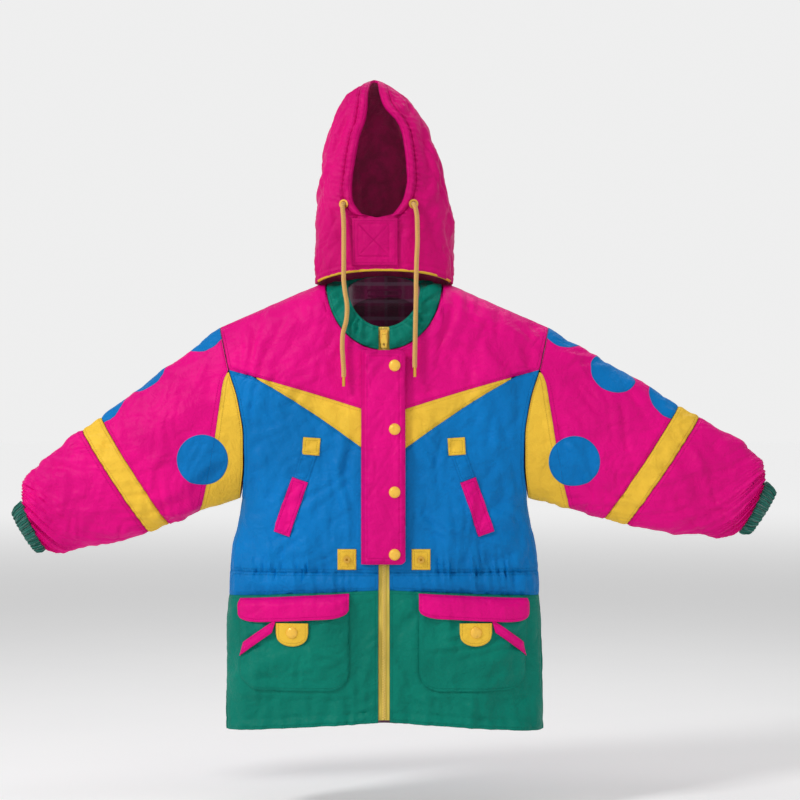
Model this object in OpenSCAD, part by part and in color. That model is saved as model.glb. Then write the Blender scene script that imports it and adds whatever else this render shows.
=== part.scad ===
// Youth ski jacket with a fixed hood, hanging from the back of its neck.
// Millimetres. Origin at the shoulder line in the middle of the neck. +X is the wearer's left,
// -Y the front, +Z up. The fronts, back, sleeves and hood are soft walls built from the same
// surface rules, so each piece follows the body when an overall size changes.

/* [Body] */
// Width of the body at the hem
body_w = 482; // [402:1:578]
// Height from the shoulder line to the hem at the sides
body_len = 675; // [563:1:810]
// Depth from front to back as it hangs
body_d = 124; // [104:1:148]
// Thickness of the padded shell
shell_t = 5; // [4:0.1:6]
// How far the front edge of the body hangs lower at the sides than in the middle
hem_wave = 17; // [5:1:25]

/* [Sleeves] */
// Sleeve reach past the armhole on the wearer's right, measured sideways
reach_right = 316; // [264:1:380]
// Sleeve reach past the armhole on the wearer's left, measured sideways
reach_left = 346; // [289:1:415]
// How far the right sleeve sinks for each unit of reach
droop_right = 0.047; // [-0.1:0.001:0.1]
// How far the left sleeve sinks for each unit of reach
droop_left = -0.047; // [-0.1:0.001:0.1]
// Half depth of the armhole
arm_half_d = 48; // [40:1:57]

/* [Hood] */
// Width of the hood at its widest
hood_w = 216; // [180:1:240]
// Height of the hood above the shoulder line
hood_h = 312; // [260:1:374]
// Half depth of the hood
hood_half_d = 60; // [52:1:66]

/* [Front closure] */
// Height of the placket's outer face above the shell
placket_rise = 11; // [10.4:0.1:13]
// Thickness of the placket
placket_t = 3.4; // [2.8:0.1:3.6]
// Diameter of the snap caps
cap_d = 17; // [14:0.5:20]
// Width of the zip tape
tape_w = 14; // [12:0.5:14.5]
// Width of the zip slider
slider_w = 11; // [9:0.5:13]
// Length of the zip pull tab
pull_len = 21; // [17:0.5:25]

/* [Pockets] */
// Depth of the pouch behind each lower pocket patch
pouch_d = 6; // [5.6:0.1:7.2]
// Length of the lower pocket patch
pocket_len = 140; // [116:1:150]
// Length of the pocket flap
flap_len = 36; // [30:1:40]
// Width of the half-round tab
tab_w = 52; // [43:1:62]

/* [Drawcord] */
// Cord diameter
cord_d = 7; // [5.8:0.1:8]

/* [Hidden] */

magenta = [0.90, 0.02, 0.50];
yellow = [0.92, 0.75, 0.28];
blue = [0.00, 0.47, 0.74];
green = [0.01, 0.49, 0.42];
maroon = [0.40, 0.02, 0.18];
metal = [0.92, 0.78, 0.40];

sx = body_w / 482;
sz = body_len / 675;
sy = body_d / 124;
half_d = body_d / 2 - 0.4;
seam = 0.6;
zip_y = -(half_d + 0.4);

// ---- plain helpers ----
function mix(a, b, t) = a + (b - a) * t;
function unit(v) = v / max(norm(v), 0.000001);
function steps(n) = [for (i = [0:n]) i / n];
function look(tab, z, i = 0) =
  z >= tab[i][0] || i + 1 >= len(tab) ? tab[i][1]
  : z >= tab[i + 1][0]
    ? mix(tab[i][1], tab[i + 1][1], (tab[i][0] - z) / (tab[i][0] - tab[i + 1][0]))
    : look(tab, z, i + 1);

// One closed solid between two grids of points: a is the outer face and b the inner one.
// With wrap the last column joins the first.
module sheet(a, b, wrap = false) {
  m = len(a) - 1;
  c = len(a[0]);
  n = wrap ? c : c - 1;
  o = (m + 1) * c;
  jm = floor((m - 1) / 2);
  im = floor((c - 2) / 2);
  out = cross(a[jm][im + 1] - a[jm][im], a[jm + 1][im] - a[jm][im]) * (a[jm][im] - b[jm][im]);
  quads = concat(
    [for (j = [0:m - 1]) for (i = [0:n - 1])
      [j * c + i, (j + 1) * c + i, (j + 1) * c + (i + 1) % c, j * c + (i + 1) % c]],
    [for (j = [0:m - 1]) for (i = [0:n - 1])
      [o + j * c + i, o + j * c + (i + 1) % c, o + (j + 1) * c + (i + 1) % c, o + (j + 1) * c + i]],
    [for (i = [0:n - 1]) [i, (i + 1) % c, o + (i + 1) % c, o + i]],
    [for (i = [0:n - 1])
      [m * c + (i + 1) % c, m * c + i, o + m * c + i, o + m * c + (i + 1) % c]],
    wrap ? [] : [for (j = [0:m - 1]) [(j + 1) * c, j * c, o + j * c, o + (j + 1) * c]],
    wrap ? [] : [for (j = [0:m - 1])
      [j * c + n, (j + 1) * c + n, o + (j + 1) * c + n, o + j * c + n]]);
  tris = [for (q = quads) for (k = [0, 1])
    out > 0 ? (k == 0 ? [q[0], q[1], q[2]] : [q[0], q[2], q[3]])
            : (k == 0 ? [q[2], q[1], q[0]] : [q[3], q[2], q[0]])];
  polyhedron(points = concat([for (r = a) for (p = r) p], [for (r = b) for (p = r) p]),
    faces = tris);
}

// Face directions of an open grid, used to give it a thickness.
function facing(g, j, i, wrap) =
  let (m = len(g) - 1, c = len(g[0]),
    ia = wrap ? (i + c - 1) % c : max(i - 1, 0), ib = wrap ? (i + 1) % c : min(i + 1, c - 1),
    ja = max(j - 1, 0), jb = min(j + 1, m))
  unit(cross(g[j][ib] - g[j][ia], g[jb][i] - g[ja][i]));
function shifted(g, d, wrap = false) =
  [for (j = [0:len(g) - 1]) [for (i = [0:len(g[0]) - 1]) g[j][i] + facing(g, j, i, wrap) * d]];

// A round cord through a list of points, closed at both ends.
module cord_tube(route, radii, sides) {
  n = len(route);
  rings = [for (k = [0:n - 1])
    let (t = unit(route[min(k + 1, n - 1)] - route[max(k - 1, 0)]),
      u = unit(cross(t, [0, 1, 0])), v = cross(t, u))
    [for (i = [0:sides - 1])
      route[k] + radii[k] * (u * cos(360 * i / sides) + v * sin(360 * i / sides))]];
  pts = concat([for (r = rings) for (p = r) p]);
  walls = [for (k = [0:n - 2]) for (i = [0:sides - 1]) for (h = [0, 1])
    let (a = k * sides + i, b = k * sides + (i + 1) % sides, c = a + sides, d = b + sides)
    h == 0 ? [a, d, b] : [a, c, d]];
  ends = concat([for (i = [1:sides - 2]) [0, i, i + 1]],
    [for (i = [1:sides - 2]) [(n - 1) * sides, (n - 1) * sides + i + 1, (n - 1) * sides + i]]);
  polyhedron(points = pts, faces = concat(walls, ends));
}

// ---- body surface ----
// Half width of the body by height.
widths = [[-65, 249], [-130, 234], [-167, 221], [-220, 211], [-282, 211], [-325, 217],
  [-366, 224], [-400, 233], [-471, 236], [-505, 240], [-580, 241], [-700, 241]];
function half_w(z) = look(widths, z);
// Shoulder line: level to 100 from the middle, then falling to the armhole.
function shoulder_z(x) = abs(x) <= 100 ? 0 : -(abs(x) - 100) * 65 / 149;
function arm_half(z) =
  abs(z + 195) < 130 ? arm_half_d * sqrt(1 - pow((z + 195) / 130, 2)) : 0;
// Point on the body: s is the part of the half width, z the nominal height, d the depth under
// the outer face, side -1 for the front and 1 for the back. The section is a rounded box that
// opens into the armhole, and it closes to the shoulder line along a quarter circle.
function skin(s, z, d, side) =
  let (w = half_w(z), x = s * w, t = shoulder_z(x) - z, k = min(1, max(0, 1 - t / 60)),
    q = pow(abs(s), 2.6), a = max(0, arm_half(z) - d), h = half_d - d,
    y = sqrt((1 - k * k) * h * h * (1 - q) + a * a * q))
  [s * (w * sx - d), side * (y + 0.4), z * sz - d * k];
function skin_at(x, z, d, side) = skin(x / half_w(z), z, d, side);

// A body panel: columns run over the list ss, rows between the nominal heights top and bottom.
module panel(ss, top, bottom, rows, d0, d1, side) {
  sheet([for (r = rows) [for (i = [0:len(ss) - 1])
      skin(ss[i], mix(top[i], bottom[i], r), d0, side)]],
    [for (r = rows) [for (i = [0:len(ss) - 1])
      skin(ss[i], mix(top[i], bottom[i], r), d1, side)]]);
}

// ---- body shell ----
function sweep_s(a, b, n) = [for (u = steps(n)) a + (b - a) * sin(90 * u)];
front_s = sweep_s(0.0355, 1, 9);
// The yoke has extra columns where the collar's edge curves.
yoke_s = concat([0.0355], [for (i = [7:-1:0]) 88 / 249 * cos(90 * i / 8)],
  [100 / 249, 0.46, 0.55, 0.66, 0.77, 0.86, 0.94, 1]);
function mirrored(ss, hand) = [for (s = ss) s * hand];
// Seam lines by the part of the half width.
function collar_z(x) = abs(x) >= 88 ? 0 : -100 * pow(1 - pow(abs(x) / 88, 2.2), 0.55);
function neck_top(s) = let (x = abs(s) * 249) x > 88 ? shoulder_z(x) : collar_z(x) - seam;
function yoke_low(s) = -189 + (abs(s) - 0.15) * 69.4;
function wedge_low(s) = -249 + (abs(s) - 0.145) * 152.3;
function hem_z(s) = -(675 - hem_wave) - hem_wave * abs(s);
function casing_low(s) = -460 - 11 * abs(s);
yoke_rows = [for (u = steps(7)) 1 - cos(90 * u)];

module yoke(hand) {
  panel(mirrored(yoke_s, hand), [for (s = yoke_s) neck_top(s)],
    [for (s = yoke_s) yoke_low(s)], yoke_rows, 0, shell_t, -1);
}
module wedge(hand) {
  ss = sweep_s(0.0355, 0.835, 7);
  panel(mirrored(ss, hand), [for (s = ss) yoke_low(s) - seam],
    [for (s = ss) wedge_low(s)], steps(3), 0, shell_t, -1);
}
module front(hand) {
  panel(mirrored(front_s, hand), [for (s = front_s) min(wedge_low(s), yoke_low(s)) - seam],
    [for (s = front_s) -434], steps(7), 0, shell_t, -1);
}
module front_casing(hand) {
  panel(mirrored(front_s, hand), [for (s = front_s) -434 - seam],
    [for (s = front_s) casing_low(s)], steps(1), 0, shell_t, -1);
}
module skirt(hand) {
  panel(mirrored(front_s, hand), [for (s = front_s) casing_low(s) - seam],
    [for (s = front_s) hem_z(s)], steps(4), 0, shell_t, -1);
}

// The back runs from side to side in one piece.
back_half = [0.12, 0.22, 0.29, 0.34, 0.3534, 100 / 249, 0.5, 0.62, 0.76, 0.89, 0.97, 1];
back_line = concat([for (i = [11:-1:0]) -back_half[i]], [0], back_half);
function back_neck(s) = let (x = abs(s) * 249)
  x > 88 ? shoulder_z(x) : -14 * sqrt(max(0, 1 - pow(x / 88, 2)));
module back_panel(top, bottom, rows) {
  panel(back_line, top, bottom, rows, 0, shell_t, 1);
}

module yoke_right() color(magenta) yoke(-1);
module yoke_left() color(magenta) yoke(1);
module wedges() color(yellow) { wedge(-1); wedge(1); }
module front_right() color(blue) front(-1);
module front_left() color(blue) front(1);
module front_casings() color(blue) { front_casing(-1); front_casing(1); }
module skirt_right() color(green) skirt(-1);
module skirt_left() color(green) skirt(1);
module back_yoke() color(magenta)
  back_panel([for (s = back_line) back_neck(s)], [for (s = back_line) -160], yoke_rows);
module back_body() color(blue)
  back_panel([for (s = back_line) -160 - seam], [for (s = back_line) -434], steps(6));
module back_casing() color(blue)
  back_panel([for (s = back_line) -434 - seam], [for (s = back_line) -471], steps(1));
module back_skirt() color(green)
  back_panel([for (s = back_line) -471 - seam], [for (s = back_line) hem_z(1)], steps(3));

// Linings hang just inside the shell.
lining_in = shell_t + 2.2;
front_levels = [-130, -174, -217, -261, -304, -347, -391, -434, -540, -645];
back_levels = [-160, -206, -252, -297, -343, -388, -434, -471, -560, -650];
function lining_face(ss, tops, levels, d, side) = concat(
  [for (r = [0, 0.06, 0.18, 0.4, 0.7]) [for (i = [0:len(ss) - 1])
    skin(ss[i], mix(tops[i], levels[0], r), d, side)]],
  [for (z = levels) [for (s = ss) skin(s, z, d, side)]]);
module lining(ss, tops, levels, side)
  sheet(lining_face(ss, tops, levels, lining_in, side),
    lining_face(ss, tops, levels, lining_in + 1, side));
module front_lining(hand) {
  ss = sweep_s(0.045, 1, 7);
  lining(mirrored(ss, hand), [for (s = ss) neck_top(s) - 4], front_levels, -1);
}
module front_linings() color(maroon) { front_lining(-1); front_lining(1); }
module back_lining() color(maroon)
  lining(back_line, [for (s = back_line) back_neck(s) - 4], back_levels, 1);

// ---- collar: a band round the neck hole, flat on the yokes in front, standing up behind ----
function collar_edge(a, inner, d) =
  let (c = cos(a), s = sin(a), r = (inner ? 54 : 87) * c,
    x = s < -0.001 ? (c < 0 ? -1 : 1) * max(8.2, abs(r)) : r)
  s < -0.001
    ? skin(x / 249, inner ? -66 * pow(-s, 0.9) : collar_z(88 * c) + seam, inner ? d - 2 : d, -1)
    : [x * sx * (1 - d / 88), (inner ? 34 : 37) * pow(max(0, s), 0.7) * half_d / 61.6 + 0.4 - d * s,
       (inner ? 15 * s : -(14 - seam * 2) * s) - d * c * c];
collar_turns = concat([-84.6], [for (i = [-7:23]) 360 * i / 32], [264.6]);
function collar_face(d) = [for (r = [0, 0.35, 0.7, 1]) [for (a = collar_turns)
  mix(collar_edge(a, false, d), collar_edge(a, true, d), r)]];
module collar() color(green) sheet(collar_face(0), collar_face(4));
// Fleece inside the back of the neck, from the collar's edge down into the back.
fleece_turns = [for (i = [1:15]) 180 * i / 16];
function fleece(d) = [for (r = [0.96, 0.4, 0, -1, -2]) [for (a = fleece_turns)
  r >= 0 ? mix(collar_edge(a, false, d), collar_edge(a, true, d), r)
         : collar_edge(a, false, d) + [0, 0, r * 16]]];
module collar_lining() color(maroon) sheet(fleece(5.2), fleece(6.4));

// ---- zip ----
tape_y = zip_y + shell_t + 0.4;
zip_top = -66 * sz;
zip_low = -655 * sz;
module zip_tapes() color(yellow) for (h = [-1, 1])
  translate([h > 0 ? 0.2 : -tape_w / 2 - 2.2, tape_y, zip_low])
    cube([tape_w / 2 + 2, 1.2, zip_top - zip_low]);
slider_len = 20;
slider_z = zip_top - 4.4 - slider_len;
module zip_teeth() color(yellow) {
  translate([-3, tape_y - 2.5, zip_low + 4]) cube([6, 2.4, zip_top - zip_low - 6]);
  for (h = [-1, 1]) translate([h * 4.6 - 1.2, tape_y - 3, zip_top - 4.2]) cube([2.4, 2.9, 3.6]);
  translate([-4.5, tape_y - 3, zip_low + 0.5]) cube([9, 2.9, 3.2]);
}
module bail_post(x) translate([x, zip_y - 3.2, slider_z + 12]) cube([1, 3.8, 4.4]);
pin_y = zip_y - 2;
pin_z = slider_z + 14.2;
module zip_slider() color(metal) {
  difference() {
    translate([-slider_w / 2, zip_y + 0.4, slider_z]) cube([slider_w, 4.7, slider_len]);
    translate([-3.4, zip_y + 2.6, slider_z - 1]) cube([6.8, 6, slider_len + 2]);
  }
  bail_post(-4.2);
  bail_post(3.2);
  translate([-3.6, pin_y, pin_z]) rotate([0, 90, 0]) cylinder(d = 1.6, h = 7.2, $fn = 24);
}
module zip_pull() color(yellow) difference() {
  union() {
    translate([-2.8, pin_y, pin_z]) rotate([0, 90, 0]) cylinder(d = 3.8, h = 5.6, $fn = 24);
    translate([-2.8, pin_y - 0.8, pin_z - 8]) cube([5.6, 1.6, 8]);
    translate([-4, pin_y - 0.8, pin_z - pull_len]) cube([8, 1.6, pull_len - 7]);
  }
  translate([-4, pin_y, pin_z]) rotate([0, 90, 0]) cylinder(d = 2.4, h = 8, $fn = 24);
  translate([0, pin_y + 2, pin_z - pull_len + 4.5]) rotate([90, 0, 0])
    cylinder(d = 4, h = 4, $fn = 32);
}

// ---- placket and snaps ----
inner_y = zip_y - placket_rise + placket_t;
outer_y = zip_y - placket_rise;
placket_top = min(-101 * sz, pin_z - pull_len - 3);
module placket_outline() polygon([[-34 * sx, -421 * sz], [-34 * sx, placket_top],
  [22 * sx, placket_top], [29 * sx, placket_top - 3], [32 * sx, placket_top - 10],
  [32 * sx, -411 * sz], [29 * sx, -418 * sz], [22 * sx, -421 * sz]]);
module placket() color(magenta) intersection() {
  translate([0, 0, -430 * sz]) linear_extrude(height = 340 * sz) polygon([
    [-34 * sx, zip_y - 0.4], [-28 * sx, zip_y - 0.4], [-20 * sx, inner_y], [40 * sx, inner_y],
    [40 * sx, outer_y], [-22 * sx, outer_y], [-30 * sx, zip_y - 3.8], [-34 * sx, zip_y - 3.8]]);
  translate([0, zip_y + 5, 0]) rotate([90, 0, 0]) linear_extrude(height = 30) placket_outline();
}
module snap_cap() rotate([90, 0, 0]) rotate_extrude($fn = 40) polygon([
  [0, 0], [cap_d / 2, 0], [cap_d / 2, 1], [cap_d / 2 - 1.2, 2.2], [cap_d / 2 - 3.5, 3.2], [0, 3.8]]);
cap_z = [-124, -219, -313, -406];
module placket_caps() color(metal)
  for (z = cap_z) translate([16 * sx, outer_y - 0.1, z * sz]) snap_cap();
tab_x = 131;
tab_z = -523;
module snap_studs() color(metal) {
  for (z = cap_z) translate([16 * sx, zip_y - 0.3, z * sz]) rotate([90, 0, 0]) {
    cylinder(d = 10, h = 1, $fn = 32);
    cylinder(d = 6, h = placket_rise - placket_t - 0.7, $fn = 32);
  }
  for (h = [-1, 1]) stud_at(h);
}

// ---- chest and waist details ----
// A strip laid on the front: corners are nominal, given as inner-top, outer-top, inner-low,
// outer-low.
function laid(c, hand, d, n, m) = [for (v = steps(m)) [for (u = steps(n))
  let (p = mix(mix(c[0], c[1], u), mix(c[2], c[3], u), v)) skin_at(hand * p[0], p[1], d, -1)]];
module laid_strip(c, hand, d0, d1, n = 4, m = 4)
  sheet(laid(c, hand, d1, n, m), laid(c, hand, d0, n, m));
function turned(cx, cz, w, h, a) = [for (k = [[-1, 1], [1, 1], [-1, -1], [1, -1]])
  [cx + k[0] * w / 2 * cos(a) + k[1] * h / 2 * sin(a),
   cz + k[1] * h / 2 * cos(a) - k[0] * w / 2 * sin(a)]];
module chest_welts() color(magenta) for (h = [-1, 1])
  laid_strip(turned(140, -336, 25, 86, -19), h, -0.8, -4, 3, 5);
module chest_squares() color(yellow) for (h = [-1, 1])
  laid_strip(turned(109, -245, 26, 26, -4), h, -0.8, -3, 2, 2);
module waist_patches() color(yellow) for (h = [-1, 1])
  laid_strip(turned(55.5, -414, 28, 31, 0), h, -0.7, -2.6, 3, 2);
module waist_eyelets() color(metal) for (h = [-1, 1])
  translate([55.5 * h * sx, zip_y - 2.9, -414 * sz]) rotate([90, 0, 0]) difference() {
    cylinder(d = 10, h = 2.4, $fn = 40);
    translate([0, 0, -1]) cylinder(d = 4, h = 5, $fn = 40);
  }

// ---- lower pockets ----
function pocket_x(u) = mix(52, 215, u);
function corner(u, r) = let (e = max(0, abs(2 * u - 1) - 0.6) / 0.4) r * (1 - sqrt(1 - e * e));
function puff(u, r) = (1 - pow(abs(2 * u - 1), 4)) * (1 - pow(r, 3));
function pocket_z(u, r) = mix(-474 - 9 * u, -472 - pocket_len + corner(u, 30), r);
function pocket_face(hand, lift) = [for (r = steps(7)) [for (u = steps(10))
  skin_at(hand * pocket_x(u), pocket_z(u, r), -(lift + pouch_d * puff(u, r)), -1)]];
module pocket(hand) sheet(pocket_face(hand, 3.2), pocket_face(hand, 0.8));
module pocket_right() color(green) pocket(-1);
module pocket_left() color(green) pocket(1);
// Depth of the flap's back face: sewn at the top, then over the pocket.
function flap_gap(u, r) = r == 0 ? 0.8 : 4.8 + pouch_d * (1 - pow(abs(2 * u - 1), 4));
function flap_z(u, r) = -465 - 9 * u - r * (flap_len - corner(u, 12));
function flap_face(hand, lift) = [for (r = [0, 0.22, 0.5, 0.75, 1]) [for (u = steps(10))
  skin_at(hand * pocket_x(u), flap_z(u, r), -(lift + flap_gap(u, r)), -1)]];
module flap(hand) sheet(flap_face(hand, 3), flap_face(hand, 0));
module flap_right() color(magenta) flap(-1);
module flap_left() color(magenta) flap(1);
// Half-round tab below the flap, flat, with its cap in front and its stud behind.
function at_tab(hand, lift) =
  skin_at(hand * tab_x, tab_z, -(5.6 + pouch_d + lift), -1);
module tab(hand) translate(at_tab(hand, 0) + [0, 0.6, 0]) rotate([0, 0, hand * 8])
  rotate([90, 0, 0]) linear_extrude(height = 2.6) intersection() {
    translate([0, 4]) scale([1, 0.95]) circle(d = tab_w, $fn = 40);
    translate([-50, -60]) square([100, 60 + (523 - 465 - flap_len - 8.6 * 0.5) * sz - 3.4]);
  }
module tab_right() color(yellow) tab(-1);
module tab_left() color(yellow) tab(1);
module flap_cap(hand) translate(at_tab(hand, 0) + [0, 0.6, 0]) rotate([0, 0, hand * 8])
  translate([0, -2.7, 0]) snap_cap();
module flap_cap_right() color(metal) flap_cap(-1);
module flap_cap_left() color(metal) flap_cap(1);
module stud_at(hand) translate(at_tab(hand, 0) + [0, 2.3, 0]) rotate([0, 0, hand * 8])
  rotate([90, 0, 0]) cylinder(d = 9, h = 1.3, $fn = 32);
module pocket_strips() color(magenta) for (h = [-1, 1])
  sheet([for (v = [0, 1]) [for (u = steps(4)) strip_point(h, u, v, 4.2 + 2)]],
    [for (v = [0, 1]) [for (u = steps(4)) strip_point(h, u, v, 4.2)]]);
function strip_point(hand, u, v, lift) =
  let (x = mix(166, 208, u) + 6 * v, z = mix(-520, -549, u) + 19 * (0.5 - v),
    pu = (x - 52) / 163, pr = (-474 - z) / 138)
  skin_at(hand * x, z, -(lift + pouch_d * puff(pu, max(0, pr))), -1);

// Hang loop inside the back of the neck.
module hang_loop() color(magenta) translate([0, 27 * half_d / 61.6, -18]) difference() {
  translate([-30, -1.2, 0]) cube([60, 2.4, 13]);
  translate([-25, -3, 3.5]) cube([50, 6, 6]);
}

// ---- hood ----
kx = hood_w / 216;
ky = hood_half_d / 60;
kz = hood_h / 312;
hood_t = 5;
hood_widths = [[312, 0.6], [305, 20], [288, 45], [264, 62], [236, 75], [190, 90], [140, 99],
  [90, 106], [40, 108], [0, 105]];
hood_depths = [[312, 0.6], [305, 18], [288, 33], [264, 44], [236, 53], [190, 60], [99, 60],
  [40, 55], [0, 50]];
opening_half = [[310, 6], [290, 9], [268, 12], [242, 26], [225, 33], [190, 39], [150, 43], [120, 38], [99, 14]];
opening_mid = [[310, -15], [290, -16], [268, -13], [242, -3], [225, -4], [190, -5], [150, -7], [120, -10], [99, -10]];
function lean(z) = -15 * pow(max(0, z) / 312, 3);
function sgn_pow(v, e) = (v < 0 ? -1 : 1) * pow(abs(v), e);
// Point on the hood: angle 0 is the front, 90 the wearer's left.
function hood_pt(a, z, d) =
  let (w = max(0.3, look(hood_widths, z) * kx - d), h = max(0.3, look(hood_depths, z) * ky - d))
  [lean(z) + w * sgn_pow(sin(a), 0.83), -h * sgn_pow(cos(a), 0.83), z * kz];
function hood_angle(x, z) =
  let (f = (x - lean(z)) / look(hood_widths, z))
  (f < 0 ? -1 : 1) * asin(pow(min(1, abs(f)), 1 / 0.83));
function face_edge(z, side) =
  hood_angle(look(opening_mid, z) + side * look(opening_half, z), z);
// A part of the hood that is open at the face.
module hood_part(zs, n) {
  sheet([for (z = zs) [for (u = steps(n))
      hood_pt(mix(face_edge(z, 1), 360 + face_edge(z, -1), u), z, 0)]],
    [for (z = zs) [for (u = steps(n))
      hood_pt(mix(face_edge(z, 1), 360 + face_edge(z, -1), u), z, hood_t) +
      [0, 0, z > 300 ? -5 : 0]]]);
}
// Lower edge: it sits on the shoulders and rises in front.
function throat_low(a) = 0.8 / kz + 18.2 * pow(max(0, cos(a)), 1.5)
  + shoulder_z(min(140, (105 * kx - hood_t) / sx)) * sz / kz * abs(sin(a));
throat_rows = [0, 0.3, 0.65, 1];
function throat(d) = [for (r = throat_rows) [for (i = [0:27]) let (a = 360 * i / 28)
  hood_pt(a, mix(throat_low(a), 99, r), d)]];
module hood_throat() color(magenta) {
  sheet(throat(0), throat(hood_t), true);
  hood_part([99.05, 112, 126], 20);
}
module hood_sides() color(magenta) hood_part([126.8, 150, 178, 208.2], 20);
module hood_crown() color(magenta) hood_part([209, 236, 264, 288, 305, 311.5], 20);
module hood_piping() color(yellow) cord_tube([for (a = [-72:12:72])
  hood_pt(a, throat_low(a) + 2.4, -2.7)], [for (a = [-72:12:72]) 2], 8);
module chin_flap() color(magenta)
  sheet([for (z = [26, 60, 97]) [for (u = steps(7)) hood_pt(hood_angle(mix(-48, 21, u), z), z, -3.8)]],
    [for (z = [26, 60, 97]) [for (u = steps(7)) hood_pt(hood_angle(mix(-48, 21, u), z), z, -1)]]);

// ---- drawcord ends: they leave the eyelets and hang down the front ----
cord_r = cord_d / 2;
route_right = [[-60, -53.8, 118], [-61.2, -57.5, 117.6], [-62, -60.5, 114.5], [-61.6, -62.5, 108],
  [-60.5, -63.5, 96], [-60, -64, 77], [-60, -65, 58], [-60, -66, 38], [-60, -67, 19],
  [-60, -68.5, 3], [-58, -70, -14], [-55, -71, -34], [-56, -71, -56], [-61, -71, -76],
  [-62, -71, -96], [-61, -71, -115], [-60, -71, -130], [-60, -71, -141]];
route_left = [[44, -57.2, 118], [44.6, -60.8, 117.6], [46, -63, 114.5], [48, -64, 108],
  [49.5, -64.5, 96], [50, -65, 77], [50, -65.5, 58], [49, -66, 38], [48.5, -67, 19],
  [48, -68.5, 3], [48, -70, -14], [47.5, -71, -36], [47, -71, -64], [46.5, -71, -90],
  [46, -71, -112], [46, -71, -120], [46, -71, -127]];
function hung(p) = let (f = min(1, max(0, (p[2] + 12) / 110)))
  [p[0] * mix(sx, kx, f),
   p[1] - mix(max(half_d - 61.6, 0), (hood_half_d - 60) * 0.9, f),
   p[2] * (p[2] > 0 ? kz : sz)];
function hung_all(r) = [for (p = r) hung(p)];
module hanging(route) cord_tube(hung_all(route), [for (p = route) cord_r], 10);
module cord_right() color(yellow) hanging(route_right);
module cord_left() color(yellow) hanging(route_left);
module tip(route) translate(hung(route[len(route) - 1]) - [0, 0, 14.05]) {
  cylinder(d = cord_d * 0.72, h = 14, $fn = 24);
}
module cord_tips() color(metal) {
  tip(route_right);
  tip(route_left);
}
module eyelet(route, turn) translate(hung(route[0])) rotate([0, 0, turn]) rotate([90, 0, 0])
  difference() {
    translate([0, 0, 0.2]) cylinder(d = cord_d + 7, h = 2, $fn = 32);
    translate([0, 0, -1]) cylinder(d = cord_d + 1.4, h = 5, $fn = 32);
  }
module cord_eyelets() color(metal) {
  eyelet(route_right, -19);
  eyelet(route_left, 11);
}

// ---- sleeves ----
// Sections from the armhole to the wrist: top point, bottom point and half depth.
sections = [[[249, -65], [217, -325], 48], [[311, -105], [288, -346], 48],
  [[380, -150], [312, -356], 47], [[440, -192], [331, -361], 45], [[470, -210], [363, -372], 43],
  [[531, -253], [430, -388], 38], [[555, -280], [490, -393], 32], [[566, -316], [528, -390], 27],
  [[581, -333], [545, -391], 24]];
function reach(hand) = (hand < 0 ? reach_right : reach_left) / 331;
function droop(hand) = hand < 0 ? droop_right : droop_left;
function placed(p, hand) =
  let (x = p[0] <= 250 ? p[0] * sx : 250 * sx + (p[0] - 250) * reach(hand))
  [x, 0, p[1] * sz - droop(hand) * max(0, x - 250 * sx)];
function ring_pt(j, a, d, hand) =
  j == 0
  ? [half_w(-195 + 130 * cos(a)) * sx + 1 + 1.1 * max(0, -cos(a)), (arm_half_d - d) * sin(a),
     -195 * sz + (130 * sz - d) * cos(a)]
  : let (t = placed(sections[j][0], hand), b = placed(sections[j][1], hand), h = (t - b) / 2)
    (t + b) / 2 + h * cos(a) * (1 - d / norm(h))
      + [0, (sections[j][2] * arm_half_d / 48 - d) * sin(a), 0];
function arm_pt(hand, t, a, d) =
  let (j = min(7, floor(t)), p = mix(ring_pt(j, a, d, hand), ring_pt(j + 1, a, d, hand), t - j))
  [hand * p[0], p[1], p[2]];
half_angles = [0, 15, 30, 45, 60, 66, 75, 90, 105, 120, 135, 150, 165];
round_angles = concat(half_angles, [180], [for (i = [12:-1:1]) 360 - half_angles[i]]);
gusset_angles = [for (a = round_angles) if (a >= 66 && a <= 294) a];
function gusset_edge(a) = let (b = min(a, 360 - a))
  b <= 61.5 ? 0 : 0.93 * pow((b - 61.5) / 118.5, 0.55);
module tube_part(hand, ts)
  sheet([for (t = ts) [for (a = round_angles) arm_pt(hand, t, a, 0)]],
    [for (t = ts) [for (a = round_angles) arm_pt(hand, t, a, shell_t)]], true);
module sleeve_cap(hand)
  sheet([for (r = [0, 0.5, 1]) [for (a = round_angles)
      arm_pt(hand, mix(gusset_edge(a) + 0.002, 0.995, r), a, 0)]],
    [for (r = [0, 0.5, 1]) [for (a = round_angles)
      arm_pt(hand, mix(gusset_edge(a) + 0.002, 0.995, r), a, shell_t)]], true);
module gusset(hand)
  sheet([for (r = [0, 0.5, 1]) [for (a = gusset_angles)
      arm_pt(hand, (gusset_edge(a) - 0.009) * r, a, 0)]],
    [for (r = [0, 0.5, 1]) [for (a = gusset_angles)
      arm_pt(hand, (gusset_edge(a) - 0.009) * r, a, shell_t)]]);
module sleeve_cap_right() color(magenta) sleeve_cap(-1);
module sleeve_cap_left() color(magenta) sleeve_cap(1);
module gusset_right() color(yellow) gusset(-1);
module gusset_left() color(yellow) gusset(1);
module sleeve_right() color(magenta) tube_part(-1, [1.006, 1.5, 2, 2.99]);
module sleeve_left() color(magenta) tube_part(1, [1.006, 1.5, 2, 2.99]);
module band_right() color(yellow) tube_part(-1, [3.005, 3.99]);
module band_left() color(yellow) tube_part(1, [3.005, 3.99]);
module forearm_right() color(magenta) tube_part(-1, [4.005, 5, 6, 6.99]);
module forearm_left() color(magenta) tube_part(1, [4.005, 5, 6, 6.99]);
module cuff_right() color(green) tube_part(-1, [7.03, 8]);
module cuff_left() color(green) tube_part(1, [7.03, 8]);

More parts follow.
